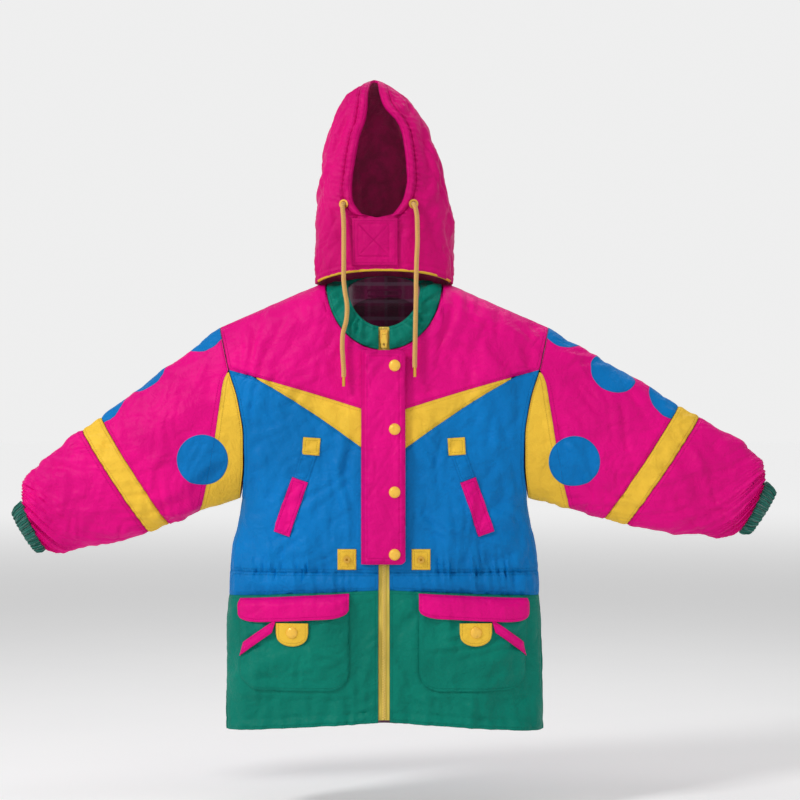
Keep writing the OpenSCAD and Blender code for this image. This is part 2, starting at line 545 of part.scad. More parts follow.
yoke_right();
yoke_left();
wedges();
front_right();
front_left();
front_casings();
skirt_right();
skirt_left();
back_yoke();
back_body();
back_casing();
back_skirt();
collar();
collar_lining();
front_linings();
back_lining();
zip_tapes();
zip_teeth();
snap_studs();
chest_welts();
chest_squares();
waist_patches();
waist_eyelets();
pocket_right();
pocket_left();
pocket_strips();
hang_loop();
hood_throat();
cord_eyelets();
cord_right();
cord_left();
cord_tips();
hood_piping();
placket();
placket_caps();
zip_slider();
zip_pull();
flap_right();
tab_right();
flap_cap_right();
flap_left();
tab_left();
flap_cap_left();
chin_flap();
sleeve_cap_right();
gusset_right();
sleeve_right();
band_right();
forearm_right();
cuff_right();
sleeve_cap_left();
gusset_left();
sleeve_left();
band_left();
forearm_left();
cuff_left();
hood_sides();
hood_crown();
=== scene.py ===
import math

import bpy
import numpy as np
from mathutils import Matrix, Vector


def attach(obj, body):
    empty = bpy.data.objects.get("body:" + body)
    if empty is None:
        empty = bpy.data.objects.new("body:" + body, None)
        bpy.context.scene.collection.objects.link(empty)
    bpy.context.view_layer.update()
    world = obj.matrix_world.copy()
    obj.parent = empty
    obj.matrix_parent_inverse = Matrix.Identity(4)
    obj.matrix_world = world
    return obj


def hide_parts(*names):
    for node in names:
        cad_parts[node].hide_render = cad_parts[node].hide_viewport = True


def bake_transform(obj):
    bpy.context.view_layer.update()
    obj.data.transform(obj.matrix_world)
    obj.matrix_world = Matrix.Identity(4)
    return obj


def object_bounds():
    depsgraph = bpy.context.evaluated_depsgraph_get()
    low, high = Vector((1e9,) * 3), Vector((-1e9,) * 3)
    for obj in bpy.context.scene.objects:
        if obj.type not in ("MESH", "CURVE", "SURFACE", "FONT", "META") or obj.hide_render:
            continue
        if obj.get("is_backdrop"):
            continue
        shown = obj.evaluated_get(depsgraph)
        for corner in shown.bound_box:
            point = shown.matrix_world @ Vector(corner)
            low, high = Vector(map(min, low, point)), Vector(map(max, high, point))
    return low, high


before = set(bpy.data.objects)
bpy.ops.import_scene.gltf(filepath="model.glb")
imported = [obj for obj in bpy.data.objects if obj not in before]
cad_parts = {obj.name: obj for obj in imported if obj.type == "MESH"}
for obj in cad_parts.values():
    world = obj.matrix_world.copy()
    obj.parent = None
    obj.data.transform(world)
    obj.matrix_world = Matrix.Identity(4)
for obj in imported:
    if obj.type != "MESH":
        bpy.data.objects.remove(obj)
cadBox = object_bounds()
print("frame loaded:", len(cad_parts), "nodes")
scene = bpy.context.scene

# camera, floor and light
view = {"center": (0.024, -0.1755), "distance": 3.5, "width": 1.2, "floorZ": -0.80}


def aim(obj, target):
    # turn a camera or lamp, which look along -Z, towards a point
    dx, dy, dz = (target[i] - obj.location[i] for i in range(3))
    obj.rotation_euler = (math.atan2(math.hypot(dx, dy), -dz), 0, math.atan2(dy, dx) - math.pi / 2)


camera = bpy.data.objects.new("camera", bpy.data.cameras.new("camera"))
scene.collection.objects.link(camera)
camera.location = (view["center"][0], -view["distance"], view["center"][1])
aim(camera, (view["center"][0], 0, view["center"][1]))
camera.data.lens = 36 * (view["distance"] - 0.05) / view["width"]
camera.data.clip_end = 50
scene.camera = camera


def addLight(name, place, size, power):
    lamp = bpy.data.lights.new(name, "AREA")
    lamp.shape = "RECTANGLE"
    lamp.size, lamp.size_y = size
    lamp.energy = power
    obj = bpy.data.objects.new(name, lamp)
    scene.collection.objects.link(obj)
    obj.location = place
    aim(obj, (0, 0, -0.2))


lights = {
    # place and size in metres, power in watts
    "keyLight": ((-2.3, -2.0, 1.9), (0.7, 0.7), 60),
    "fillLight": ((2.3, -2.6, 0.1), (1.8, 2.2), 2),
    "topLight": ((0.2, -0.9, 2.5), (1.6, 1.0), 10),
    "backLight": ((0.6, 1.5, 2.2), (2.4, 1.2), 24),
}
for name, (place, size, power) in lights.items():
    addLight(name, place, size, power)
sky = {"fadesFrom": 0.2, "fadesTo": 0.75, "low": 0.86, "overhead": 0.3}  # strength by height of direction
world = bpy.data.worlds.new("studio")
scene.world = world
world.use_nodes = True
# pale ring of light round the horizon, dimmer overhead
nodes, links = world.node_tree.nodes, world.node_tree.links
direction, parts = nodes.new("ShaderNodeTexCoord"), nodes.new("ShaderNodeSeparateXYZ")
height, ramp = nodes.new("ShaderNodeMath"), nodes.new("ShaderNodeMapRange")
height.operation = "ABSOLUTE"
for index, value in enumerate(sky.values(), 1):
    ramp.inputs[index].default_value = value
links.new(direction.outputs["Generated"], parts.inputs[0])
links.new(parts.outputs[2], height.inputs[0])
links.new(height.outputs[0], ramp.inputs[0])
links.new(ramp.outputs[0], nodes["Background"].inputs[1])
nodes["Background"].inputs[0].default_value = (1, 1, 1, 1)
scene.view_settings.view_transform = "Standard"
print("camera and lights set")

# body surface, in millimetres
body = {
    # half depth at the middle and at the armhole, the armhole's middle level and half height, and how far
    # below the shoulder line the section is full
    "halfDepth": 61.6, "armDepth": 48.0, "armMid": -195.0, "armHalf": 130.0, "ramp": 60.0,
    # half width at the shoulder, where the level neck ends, the fall from there, and the section's
    # squareness
    "shoulderHalf": 249, "levelTo": 100, "shoulderDrop": 65, "square": 2.6,
}
# half width at each level, from the armhole's top down to the hem
widthZ = np.array([-65, -130, -167, -220, -282, -325, -366, -400, -471, -505, -580, -700.0])
widthX = np.array([249, 234, 221, 211, 211, 217, 224, 233, 236, 240, 241, 241.0])
fineZ = np.arange(-700, -64, 1.0)
roundedX = np.interp(fineZ, widthZ[::-1], widthX[::-1])
bell = np.exp(-0.5 * (np.arange(-24, 25) / 9.0) ** 2)
padded = np.pad(roundedX, 24, mode="edge")
padded[-24:] = body["shoulderHalf"] + np.arange(24) * 0.2
roundedX = np.convolve(padded, bell / bell.sum(), mode="valid")


def halfWidth(z):
    # half width of the body by height, with its corners rounded off
    return np.interp(z, fineZ, roundedX)


def shoulderZ(x):
    # level near the neck, then a straight fall to the armhole
    past = np.maximum(np.abs(x) - body["levelTo"], 0)
    return -past * body["shoulderDrop"] / (body["shoulderHalf"] - body["levelTo"])


def skin(s, z, d, side):
    # Rounded box. Depth squared is the middle's half depth squared, times what the edge power leaves,
    # plus the armhole's half depth squared times the edge power. The middle closes to the shoulder line
    # along a quarter circle. s runs from -1 to 1 across the body, z is the level and d the depth below
    # the outside.
    s, z = np.broadcast_arrays(np.asarray(s, float), np.asarray(z, float))
    w = halfWidth(z)
    top = shoulderZ(s * np.where(z > -body["shoulderDrop"] - 1, body["shoulderHalf"], w))
    k = np.clip(1 - (top - z) / body["ramp"], 0, 1)
    q = np.abs(s) ** body["square"]
    v = np.clip((z - body["armMid"]) / body["armHalf"], -1, 1)
    a = np.maximum(0, body["armDepth"] * np.sqrt(1 - v * v) - d)
    h = body["halfDepth"] - d
    y = np.sqrt((1 - k * k) * h * h * (1 - q) + a * a * q)
    return np.stack([s * (w - d), side * (y + 0.05), z - d * k], -1)


def skinAt(x, z, d, side=-1):
    return skin(x / halfWidth(z), z, d, side)


# noise
def latticeNoise(x, y, seed):
    # gradient noise: each lattice corner has a fixed slope picked from a sine hash
    xi, yi = np.floor(x), np.floor(y)
    fx, fy = x - xi, y - yi
    u, v = fx ** 3 * (fx * (fx * 6 - 15) + 10), fy ** 3 * (fy * (fy * 6 - 15) + 10)

    def corner(i, j):
        h = np.sin((xi + i) * 127.1 + (yi + j) * 311.7 + seed * 74.7) * 43758.5453
        a = 2 * math.pi * (h - np.floor(h))
        return np.cos(a) * (fx - i) + np.sin(a) * (fy - j)

    low = corner(0, 0) * (1 - u) + corner(1, 0) * u
    high = corner(0, 1) * (1 - u) + corner(1, 1) * u
    return low * (1 - v) + high * v


def billow(x, y, turn, long, wide, seed, soft=0.05):
    # mounds of cloth with creases between them: |noise| over a turned, stretched and warped grid
    c, s = math.cos(math.radians(turn)), math.sin(math.radians(turn))
    u, v = (x * c + y * s) / long, (-x * s + y * c) / wide
    bend = latticeNoise(u * 0.8, v * 0.45, seed + 31) * 1.3
    n = latticeNoise(u + 0.4 * bend, v + bend, seed)
    return np.sqrt(n * n + soft * soft) - 0.24


creases = [
    # height, turn from the main direction, length, width, seed step and softness, from broad mounds over
    # thin wadding through drag lines two ways to small creases
    (6.5, 0, 150, 60, 0, 0.05), (8.6, -24, 100, 30, 3, 0.045), (5.6, 36, 64, 22, 7, 0.045),
    (2.0, -55, 34, 12, 11, 0.05), (0.45, 10, 16, 7, 17, 0.06),
]


def crumple(x, y, seed, turn=70):
    # the sum of all the sets of creases
    layers = [h * billow(x, y, turn + t, long, wide, seed + k, soft) for h, t, long, wide, k, soft in creases]
    return sum(layers)


def gathers(along, seed, pitch):
    # uneven ridges across a gathered seam
    shift = latticeNoise(along / (pitch * 2.3), along * 0 + seed, seed) * pitch * 1.4
    return 0.5 + 0.5 * np.cos(2 * math.pi * (along + shift) / pitch)


def ease(w):
    # smooth step: three w squared less two w cubed
    return w * w * (3 - 2 * w)


def bump(x, center, width):
    # bell: e to the minus of the squared distance from the centre in widths
    return np.exp(-(((x - center) / width) ** 2))


# relief of the body
seamLines = {
    # level at the inner end, where that end is as a share of the half width, and rise over a half width
    "yoke": (-189, 0.15, 69.4), "wedge": (-249, 0.145, 152.3),
    "casing": (-460, 0, -11), "hem": (-658, 0, -17),
}
waist = {"top": -434, "backLow": -471}
backYokeLow = -160


def seamLevel(name):
    level, start, rise = seamLines[name]
    return lambda s: level + (np.abs(s) - start) * rise


yokeLow, wedgeLow, casingLow, hemZ = [seamLevel(name) for name in seamLines]
neck = {"half": 88, "drop": 100}


def collarZ(x):
    # the collar seam: a rounded scoop below the level neck
    scoop = np.clip(1 - (np.abs(x) / neck["half"]) ** 2.2, 0, 1) ** 0.55
    return np.where(np.abs(x) >= neck["half"], 0, -neck["drop"] * scoop)


relief = {
    # heights in mm: all folds, the wave low on the skirt, waist pleats, their fine gathers, the casing's
    # swell, puckers along seams, the hem's roll and its gathers
    "folds": 1.35, "skirtWave": 17, "pleat": 4.6, "fine": 2.2, "swell": 2.4, "pucker": 1.1,
    "roll": 1.6, "hem": 2.6,
}


def quietPlaces(x, z):
    # how much of the folds is left on the fronts: less under the placket, zip, waist patches and pockets
    left = np.ones_like(x)
    left -= 0.9 * np.clip((56 - np.abs(x)) / 20, 0, 1) * (z < -96) * (z > -428)
    left -= 0.5 * bump(x, 0, 14)
    left -= 0.7 * bump(np.abs(x), 55, 13) * np.clip((z + 165) / 20, 0, 1)
    overPocket = np.clip((92 - np.abs(np.abs(x) - 133)) / 10, 0, 1)
    return left - 0.55 * overPocket * np.clip((-z - 462) / 12, 0, 1) * (z > -622)


def bodyRelief(s, z, side):
    # height over the base surface: creases and a low wave, then waist pleats, seam dips with puckers, the
    # hem's roll, and a fade to nothing at the side and shoulder lines; side is -1 in front and 1 behind
    s, z = np.broadcast_arrays(np.asarray(s, float), np.asarray(z, float))
    x = s * halfWidth(z)
    ahead = side < 0
    seed = 3 if ahead else 57
    if ahead:
        folds = np.where(x < 0, crumple(-x, z, seed, 112), crumple(x, z, seed + 2, 112))
        quiet = quietPlaces(x, z)
    else:
        folds = crumple(x, z, seed, 68)
        quiet = np.ones_like(x)
    wave = latticeNoise(x / 85 + 4 - z / 160, z / 120, seed + 5) * np.clip((-z - 380) / 200, 0, 1)
    r = relief["folds"] * folds * np.clip(quiet, 0.1, 1)
    r = r + relief["skirtWave"] * wave * np.clip(1 - 0.9 * bump(x, 0, 26), 0, 1)
    # waist: flatter folds along the casing, pleats above it that die out upwards
    mid = (waist["top"] + casingLow(s)) / 2 if ahead else (waist["top"] + waist["backLow"]) / 2 + 0 * s
    near = np.clip(1 - np.abs(z - mid) / 18, 0, 1)
    fade = np.exp(-np.clip(np.abs(z - mid) - 16, 0, None) / 26)
    fade = fade * np.where(z > mid + 12, 1, np.where(z < mid - 14, 0.3, 0.45))
    pleats = gathers(x + 0.12 * (z - mid), seed + 1, 13) - 0.5
    fine = gathers(x, seed + 2, 7.5) - 0.5
    flat = np.clip((np.abs(x) - 24) / 30, 0, 1) if ahead else 1
    r = r * (1 - 0.55 * near) + flat * fade * (relief["pleat"] * pleats + relief["fine"] * fine)
    r += relief["swell"] * near * flat
    # seams: level, width and depth of each dip
    dips = [(waist["top"] + 0 * s, 3.2, 2.6), (mid * 2 - waist["top"], 3.2, 2.6)]
    if ahead:
        dips += [(yokeLow(s), 3.4, 1.9), (np.minimum(wedgeLow(s), yokeLow(s)), 3.4, 1.9)]
    else:
        dips += [(backYokeLow + 0 * s, 3.4, 1.9)]
    for level, wide, deep in dips:
        near = np.exp(-np.abs(z - level) / 9)
        r -= deep * bump(z, level, wide)
        puckers = (gathers(x + 0.5 * z, seed + 5, 10) - 0.5) * (np.abs(x) > 36 if ahead else 1)
        r += relief["pucker"] * near * puckers
    hem = hemZ(s) if ahead else hemZ(1)
    r -= 2.2 * bump(z, hem + 15, 2.6)
    r += relief["roll"] * bump(z, hem + 7, 7)
    r += relief["hem"] * np.exp(-(z - hem) / 20) * (gathers(x, seed + 8, 22) - 0.5)
    edge = np.clip((1 - np.abs(s)) * 14, 0, 1)
    r = r * (0.25 + 0.75 * edge) - 0.7 * (1 - edge)
    # front and back meet level at the shoulder
    r = r * (0.12 + 0.88 * np.clip((shoulderZ(x) - z) / 30, 0, 1) ** 0.7)
    if ahead:
        # flat under the waist patches, so that their eyelets sit on top
        r = r * (1 - 0.96 * np.exp(-(((np.abs(x) - 55.5) / 23) ** 4) - (((z + 414) / 22) ** 4)))
    return r


# mesh making
def surfaceNormals(grid, wrap=False):
    # cross product of the two grid directions
    if wrap:
        ring = np.concatenate([grid[:, -1:], grid, grid[:, :1]], 1)
        du = (ring[:, 2:] - ring[:, :-2]) / 2
    else:
        du = np.gradient(grid, axis=1)
    dv = np.gradient(grid, axis=0)
    n = np.cross(du, dv)
    return n / np.maximum(np.linalg.norm(n, axis=-1, keepdims=True), 1e-9)


def facing(grid, toward, wrap=False):
    # normals of a grid, turned so that on the whole they point the given way
    n = surfaceNormals(grid, wrap)
    return n * np.sign((n * toward).sum(-1).mean())


def gridFaces(rows, cols, wrap, start, turn):
    # quads between neighbouring rows and columns
    j, i = np.meshgrid(np.arange(rows - 1), np.arange(cols if wrap else cols - 1), indexing="ij")
    a, b = start + j * cols + i, start + (j + 1) * cols + i
    c, d = start + (j + 1) * cols + (i + 1) % cols, start + j * cols + (i + 1) % cols
    quads = np.stack([a, b, c, d] if turn else [a, d, c, b], -1).reshape(-1, 4)
    return quads


def makeMesh(name, points, quads, uv, materials, slots, tags, sharp=40):
    # points and uv in mm; tags are numbers kept at each point, such as the distance to a seam
    mesh = bpy.data.meshes.new(name)
    mesh.vertices.add(len(points))
    mesh.vertices.foreach_set("co", (points * 0.001).astype(np.float32).ravel())
    mesh.loops.add(quads.size)
    mesh.loops.foreach_set("vertex_index", quads.astype(np.int32).ravel())
    mesh.polygons.add(len(quads))
    mesh.polygons.foreach_set("loop_start", np.arange(0, quads.size, 4, dtype=np.int32))
    mesh.polygons.foreach_set("use_smooth", np.ones(len(quads), bool))
    for m in materials:
        mesh.materials.append(m)
    mesh.polygons.foreach_set("material_index", slots.astype(np.int32))
    mesh.update(calc_edges=True)
    layer = mesh.uv_layers.new(name="UVMap")
    layer.data.foreach_set("uv", (uv * 0.001)[quads.ravel()].astype(np.float32).ravel())
    for key, values in tags.items():
        attribute = mesh.attributes.new(key, "FLOAT", "POINT")
        attribute.data.foreach_set("value", values.astype(np.float32).ravel())
    mesh.set_sharp_from_angle(angle=math.radians(sharp))
    mesh.validate()
    obj = bpy.data.objects.new(name, mesh)
    scene.collection.objects.link(obj)
    return obj


def shell(name, outer, inner, materials, wrap=False, tags=None, sharp=55):
    # closed wall between an outer and an inner grid of points; rims join them
    rows, cols = outer.shape[:2]
    size = rows * cols
    mid = (rows - 1) // 2, (cols - 2) // 2
    n = surfaceNormals(outer, wrap)[mid]
    turn = float(n @ (outer[mid] - inner[mid])) < 0
    back = gridFaces(rows, cols, wrap, size, not turn)
    front = gridFaces(rows, cols, wrap, 0, turn)
    i = np.arange(cols if wrap else cols - 1)
    k = (i + 1) % cols
    last = (rows - 1) * cols
    rims = [
        np.stack([k, i, size + i, size + k], -1),
        np.stack([last + i, last + k, size + last + k, size + last + i], -1),
    ]
    if not wrap:
        j = np.arange(rows - 1) * cols
        e = j + cols - 1
        rims += [
            np.stack([j, j + cols, size + j + cols, size + j], -1),
            np.stack([e + cols, e, size + e, size + e + cols], -1),
        ]
    rims = np.concatenate(rims)
    if turn:
        rims = rims[:, ::-1]
    quads = np.concatenate([front, back, rims])
    lined = np.ones(len(back)) * (len(materials) > 1)
    slots = np.concatenate([np.zeros(len(front)), lined, np.zeros(len(rims))])
    across = np.linalg.norm(np.diff(outer, axis=1), axis=-1).mean(0)
    down = np.linalg.norm(np.diff(outer, axis=0), axis=-1).mean(1)
    u, v = np.meshgrid(np.r_[0, np.cumsum(across)], -np.r_[0, np.cumsum(down)])
    uv = np.stack([u.ravel(), v.ravel()], -1)
    uv = np.concatenate([uv, uv])
    allTags = {key: np.concatenate([value.ravel()] * 2) for key, value in (tags or {}).items()}
    points = np.concatenate([outer.reshape(-1, 3), inner.reshape(-1, 3)])
    return makeMesh(name, points, quads, uv, materials, slots, allTags, sharp)


def finishPiece(obj, owner, slotName, *nodes, fill=None):
    # attaches the piece to its owner's body, if it has one, and hides the given nodes of the frame
    if owner:
        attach(obj, owner)
    if nodes:
        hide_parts(*nodes)
    return obj


# materials
class Wire:
    # a socket whose arithmetic adds Math nodes
    def __init__(self, sheet, socket):
        self.sheet, self.socket = sheet, socket

    def math(self, kind, other=None, clamp=False):
        settings = {"operation": kind, "use_clamp": clamp}
        return self.sheet.add("ShaderNodeMath", settings, {0: self, 1: other})

    def __add__(self, other):
        return self.math("ADD", other)

    def __mul__(self, other):
        return self.math("MULTIPLY", other)

    def __sub__(self, other):
        return self.math("SUBTRACT", other)

    def __rsub__(self, other):
        return self.sheet.add("ShaderNodeMath", {"operation": "SUBTRACT"}, {0: other, 1: self})

    def __truediv__(self, other):
        return self.math("DIVIDE", other)

    def __abs__(self):
        return self.math("ABSOLUTE")

    def __pow__(self, other):
        return self.math("POWER", other)

    __radd__, __rmul__ = __add__, __mul__

    def clamp(self):
        return self.math("ADD", 0.0, clamp=True)

    def sin(self):
        return self.math("SINE")

    def rise(self, low, high):
        # smooth step from 0 at low to 1 at high
        values = {"Value": self, "From Min": low, "From Max": high}
        return self.sheet.add("ShaderNodeMapRange", {"interpolation_type": "SMOOTHSTEP"}, values)


socketNames = {
    "base": "Base Color", "rough": "Roughness", "metal": "Metallic", "normal": "Normal",
    "specular": "Specular IOR Level", "coat": "Coat Weight", "coatRough": "Coat Roughness",
    "sheen": "Sheen Weight", "sheenRough": "Sheen Roughness", "sheenTint": "Sheen Tint",
    "glow": "Emission Color", "glowPower": "Emission Strength",
}


class Finish:
    # one material: its nodes come from add, and finish joins them to the shader
    def __init__(self, name):
        self.material = bpy.data.materials.new(name)
        self.material.use_nodes = True
        self.tree = self.material.node_tree
        self.shader = self.tree.nodes["Principled BSDF"]
        coords = self.tree.nodes.new("ShaderNodeTexCoord")
        self.place, self.uv = Wire(self, coords.outputs["Object"]), Wire(self, coords.outputs["UV"])

    def add(self, kind, settings=None, values=None, out=0):
        node = self.tree.nodes.new(kind)
        for key, value in (settings or {}).items():
            if key == "stops":
                ramp = node.color_ramp
                while len(ramp.elements) < len(value):
                    ramp.elements.new(0.5)
                for element, (at, color) in zip(ramp.elements, value):
                    element.position, element.color = at, (*color, 1)
            else:
                setattr(node, key, value)
        for key, value in (values or {}).items():
            if isinstance(value, Wire):
                self.tree.links.new(value.socket, node.inputs[key])
            elif value is not None:
                node.inputs[key].default_value = value
        return Wire(self, node.outputs[out])

    def tag(self, name):
        return self.add("ShaderNodeAttribute", {"attribute_name": name}, out="Fac")

    def noise(self, scale, detail=3, rough=0.5, distortion=0.0, at=None):
        return self.add("ShaderNodeTexNoise", {}, {
            "Vector": at or self.place, "Scale": scale, "Detail": detail,
            "Roughness": rough, "Distortion": distortion,
        })

    def stretched(self, scale):
        return self.add("ShaderNodeMapping", {}, {"Vector": self.place, "Scale": scale})

    def split(self, at=None):
        node = self.add("ShaderNodeSeparateXYZ", {}, {0: at or self.place}).socket.node
        return [Wire(self, node.outputs[i]) for i in range(3)]

    def mix(self, amount, a, b):
        node = self.tree.nodes.new("ShaderNodeMix")
        node.data_type = "RGBA"
        for index, value in ((0, amount), (6, a), (7, b)):
            if isinstance(value, Wire):
                self.tree.links.new(value.socket, node.inputs[index])
            else:
                node.inputs[index].default_value = value if index == 0 else (*value[:3], 1)
        return Wire(self, node.outputs[2])

    def relief(self, height, strength, distance):
        return self.add("ShaderNodeBump", {}, {"Height": height, "Strength": strength, "Distance": distance})

    def finish(self, **sockets):
        for key, value in sockets.items():
            name = socketNames[key]
            if isinstance(value, Wire):
                self.tree.links.new(value.socket, self.shader.inputs[name])
            else:
                self.shader.inputs[name].default_value = value
        return self.material


def linear(rgb):
    # screen colour from 0 to 255, as the shader's linear value
    share = [c / 255 for c in rgb]
    return tuple(c / 12.92 if c <= 0.04045 else ((c + 0.055) / 1.055) ** 2.4 for c in share)


def shade(color, amount):
    return tuple(min(1, c * amount) for c in color)


dyes = {
    # as seen on screen, 0 to 255
    "magenta": linear((226, 2, 128)), "yellow": linear((238, 192, 62)), "blue": linear((2, 116, 188)),
    "green": linear((2, 122, 104)), "hood": linear((204, 2, 110)), "cuff": linear((16, 108, 94)),
    "lining": linear((132, 12, 84)), "hoodInside": linear((172, 2, 88)),
}


def taffeta(name, dye, dot=None, gloss=0.44):
    # woven nylon: fine rib, small creases, soft sheen, seams darkened partly by dirt and partly by painted shade
    # in their grooves, and a line of stitching
    f = Finish(name)
    seam = f.tag("seam")
    patch = f.noise(9, 3, 0.55)
    fleck = f.noise(62, 4, 0.6)
    base = f.mix(patch.rise(0.3, 0.72), shade(dye, 0.9), shade(dye, 1.08))
    if dot:
        inside = f.tag("dot")
        mask = inside.rise(-0.35, 0.35)
        other = f.mix(patch.rise(0.3, 0.72), shade(dot, 0.9), shade(dot, 1.1))
        base = f.mix(mask, base, other)
        ring = (1 - (abs(inside - 1.8) / 0.9)).clamp()
        base = f.mix(ring * 0.4, base, shade(dot, 0.55))
    u, v, _ = f.split(f.uv)
    run = ((u + v) * (2 * math.pi / 0.0032)).sin().rise(-0.5, 0.1)  # one stitch every 3.2 mm
    bare = 1 - mask if dot else 1.0
    stitch = (1 - abs(seam - 4.2) / 0.75).clamp() * run * bare
    # dirt and painted shade: the colour darkens towards each seam, in the groove where shade falls; the same mask
    # roughens the cloth
    grooveDirtAndShade = (1 - seam / 2.6).clamp() * bare
    base = f.mix(grooveDirtAndShade * 0.34, base, shade(dye, 0.42))
    base = f.mix(stitch * 0.5, base, shade(dye, 0.62))
    base = f.mix(fleck.rise(0.5, 0.8) * 0.16 * bare, base, shade(dye, 0.72))
    x, _, z = f.split()
    weave = ((z * (2 * math.pi / 0.0011)).sin() + (x * (2 * math.pi / 0.0014)).sin()) * 0.12
    crease = abs(f.noise(26, 3, 0.55, 0.9) - 0.5) * 1.3 + abs(f.noise(70, 3, 0.6, 0.7) - 0.5) * 0.7
    height = crease + weave * 0.05 - stitch * 0.35
    if dot:
        height = height + inside.rise(-0.6, 0.9) * 0.5
    return f.finish(
        base=base, rough=fleck * 0.16 + (gloss - 0.06) + grooveDirtAndShade * 0.2, normal=f.relief(height, 0.6, 0.0052),
        specular=0.1, sheen=0.04, sheenRough=0.35, sheenTint=(*shade(dye, 1.2), 1),
    )


def fleece(name, dye, rough=0.92, plaid=0.0):
    # brushed lining: short clumped pile, with dark and pale checks where plaid is above 0
    f = Finish(name)
    pile = f.noise(420, 4, 0.7)
    clump = f.noise(48, 3, 0.6)
    base = f.mix(clump.rise(0.3, 0.7), shade(dye, 0.7), shade(dye, 1.25))
    x, _, z = f.split()
    broad = [(c * (2 * math.pi / 0.052) + pile * 0.5).sin() for c in (x, z)]
    fine = [(c * (2 * math.pi / 0.026) + 1).sin() for c in (x, z)]
    dark = (broad[0].rise(0.1, 0.5) + broad[1].rise(0.1, 0.5)) * 0.5
    pale = (fine[0].rise(0.7, 0.99) * 0.35 + fine[1].rise(0.62, 0.96)).clamp()
    base = f.mix(dark * plaid, base, shade(dye, 0.3))
    base = f.mix(pale * (plaid * 0.34), base, (0.3, 0.24, 0.34))
    base = f.mix(pile.rise(0.45, 0.75) * 0.35, base, shade(dye, 1.7))
    normal = f.relief(pile + clump * 1.4, 0.6, 0.002)
    return f.finish(base=base, rough=rough, normal=normal, sheen=0.5, sheenRough=0.6, specular=0.2)


def metalFinish(name, dye, rough, metal=1.0, coat=0.0):
    # plated or painted metal: fine brushing and small darker worn patches at random
    f = Finish(name)
    brush = f.noise(900, 2, 0.5, at=f.stretched((1, 1, 6)))
    wear = f.noise(140, 4, 0.65)
    base = f.mix(wear.rise(0.5, 0.75) * 0.5, dye, shade(dye, 0.62))
    normal = f.relief(brush + wear, 0.12, 0.0005)
    rough = brush * 0.12 + wear * 0.14 + (rough - 0.1)
    return f.finish(base=base, metal=metal, rough=rough, normal=normal, coat=coat)


def ribbed(name, dye, pitch=0.0042, depth=0.6):
    # knitted or gathered elastic: ribs that follow the piece's own length, with painted shade between the ribs
    # and painted light on their tops
    f = Finish(name)
    u, v, _ = f.split(f.uv)
    wobble = f.noise(30, 3, 0.6)
    rib = ((u * (2 * math.pi / pitch)) + wobble * 3.2).sin() * 0.5 + 0.5
    knit = (v * (2 * math.pi / 0.0016)).sin() * 0.5 + 0.5
    # painted shade and painted light: the colour follows the rib height, darker in the valleys and paler on the
    # tops
    base = f.mix(rib, shade(dye, 0.5), shade(dye, 1.18))
    base = f.mix(wobble.rise(0.4, 0.7) * 0.3, base, shade(dye, 0.7))
    normal = f.relief(rib + knit * 0.16 + wobble, depth, 0.0022)
    rough = wobble * 0.2 + 0.6
    return f.finish(base=base, rough=rough, normal=normal, sheen=0.3, sheenRough=0.5, specular=0.3)


clothMagenta = taffeta("nylonMagenta", dyes["magenta"])
clothYellow = taffeta("nylonYellow", dyes["yellow"])
clothBlue = taffeta("nylonBlue", dyes["blue"])
clothGreen = taffeta("nylonGreen", dyes["green"])
clothHood = taffeta("nylonHood", dyes["hood"])
sleeveMagenta = taffeta("nylonMagentaDotted", dyes["magenta"], dot=dyes["blue"])
gussetYellow = taffeta("nylonYellowDotted", dyes["yellow"], dot=dyes["blue"])
liningCloth = fleece("liningMagenta", dyes["lining"], plaid=1.0)
hoodLining = fleece("liningHood", dyes["hoodInside"], 0.8)
cuffCloth = ribbed("cuffElastic", dyes["cuff"])
print("materials made")

# body panels
panels = {"wall": 3.6, "fill": 0.35, "cell": 3.2}  # wall in mm, wadding from 0 to 1, mesh cell in mm


def seamDistance(left, right, top, bottom):
    # millimetres to the nearest edge of a panel whose sides are those four distances
    return np.minimum(np.minimum(left, right), np.minimum(top, bottom))


def bodyWall(s, z, side):
    # base surface pushed along its own normal by the relief
    base = skin(s, z, 0, side)
    n = facing(base, np.array([0, side, 0]))
    return base + n * bodyRelief(s, z, side)[..., None], n


def bodyPanel(name, side, sides, ends, cloth, slotName, *nodes):
    # rows run down from the top line to the low line, columns across from one side to the other; each
    # point is the body's surface there, pushed out by the relief
    width = np.abs(sides[1] - sides[0]) * 240
    rows = int(max(6, np.max(np.abs(ends[0](0.5) - ends[1](0.5))) / panels["cell"]))
    u = np.linspace(0, 1, int(max(8, width / panels["cell"])))
    t = np.linspace(0, 1, rows)[:, None]
    s = (sides[0] + (sides[1] - sides[0]) * u)[None, :] * np.ones_like(t)
    top, bottom = ends[0](s), ends[1](s)
    z = top + (bottom - top) * t
    outer, n = bodyWall(s, z, side)
    inner = outer - n * panels["wall"]
    x = s * halfWidth(z)
    edges = [np.abs(x - v * halfWidth(z)) for v in sides]
    seam = seamDistance(edges[0], edges[1], np.abs(z - top), np.abs(z - bottom))
    obj = shell(name, outer, inner, [cloth, liningCloth], tags={"seam": seam})
    return finishPiece(obj, "torso", slotName, *nodes, fill=panels["fill"])


def neckTop(s):
    x = np.abs(s) * body["shoulderHalf"]
    return np.where(x > neck["half"], shoulderZ(x), collarZ(x) - 0.6)


def backNeck(s):
    # half an ellipse, 14 mm deep at the nape, then the shoulder line
    x = np.abs(s) * body["shoulderHalf"]
    dip = np.sqrt(np.clip(1 - (x / neck["half"]) ** 2, 0, 1))
    return np.where(x < neck["half"], -14 * dip, shoulderZ(x))


def flat(value):
    # a level line, as a function of s
    return lambda s: value + 0 * s


def frontTop(s):
    return np.minimum(wedgeLow(s), yokeLow(s))


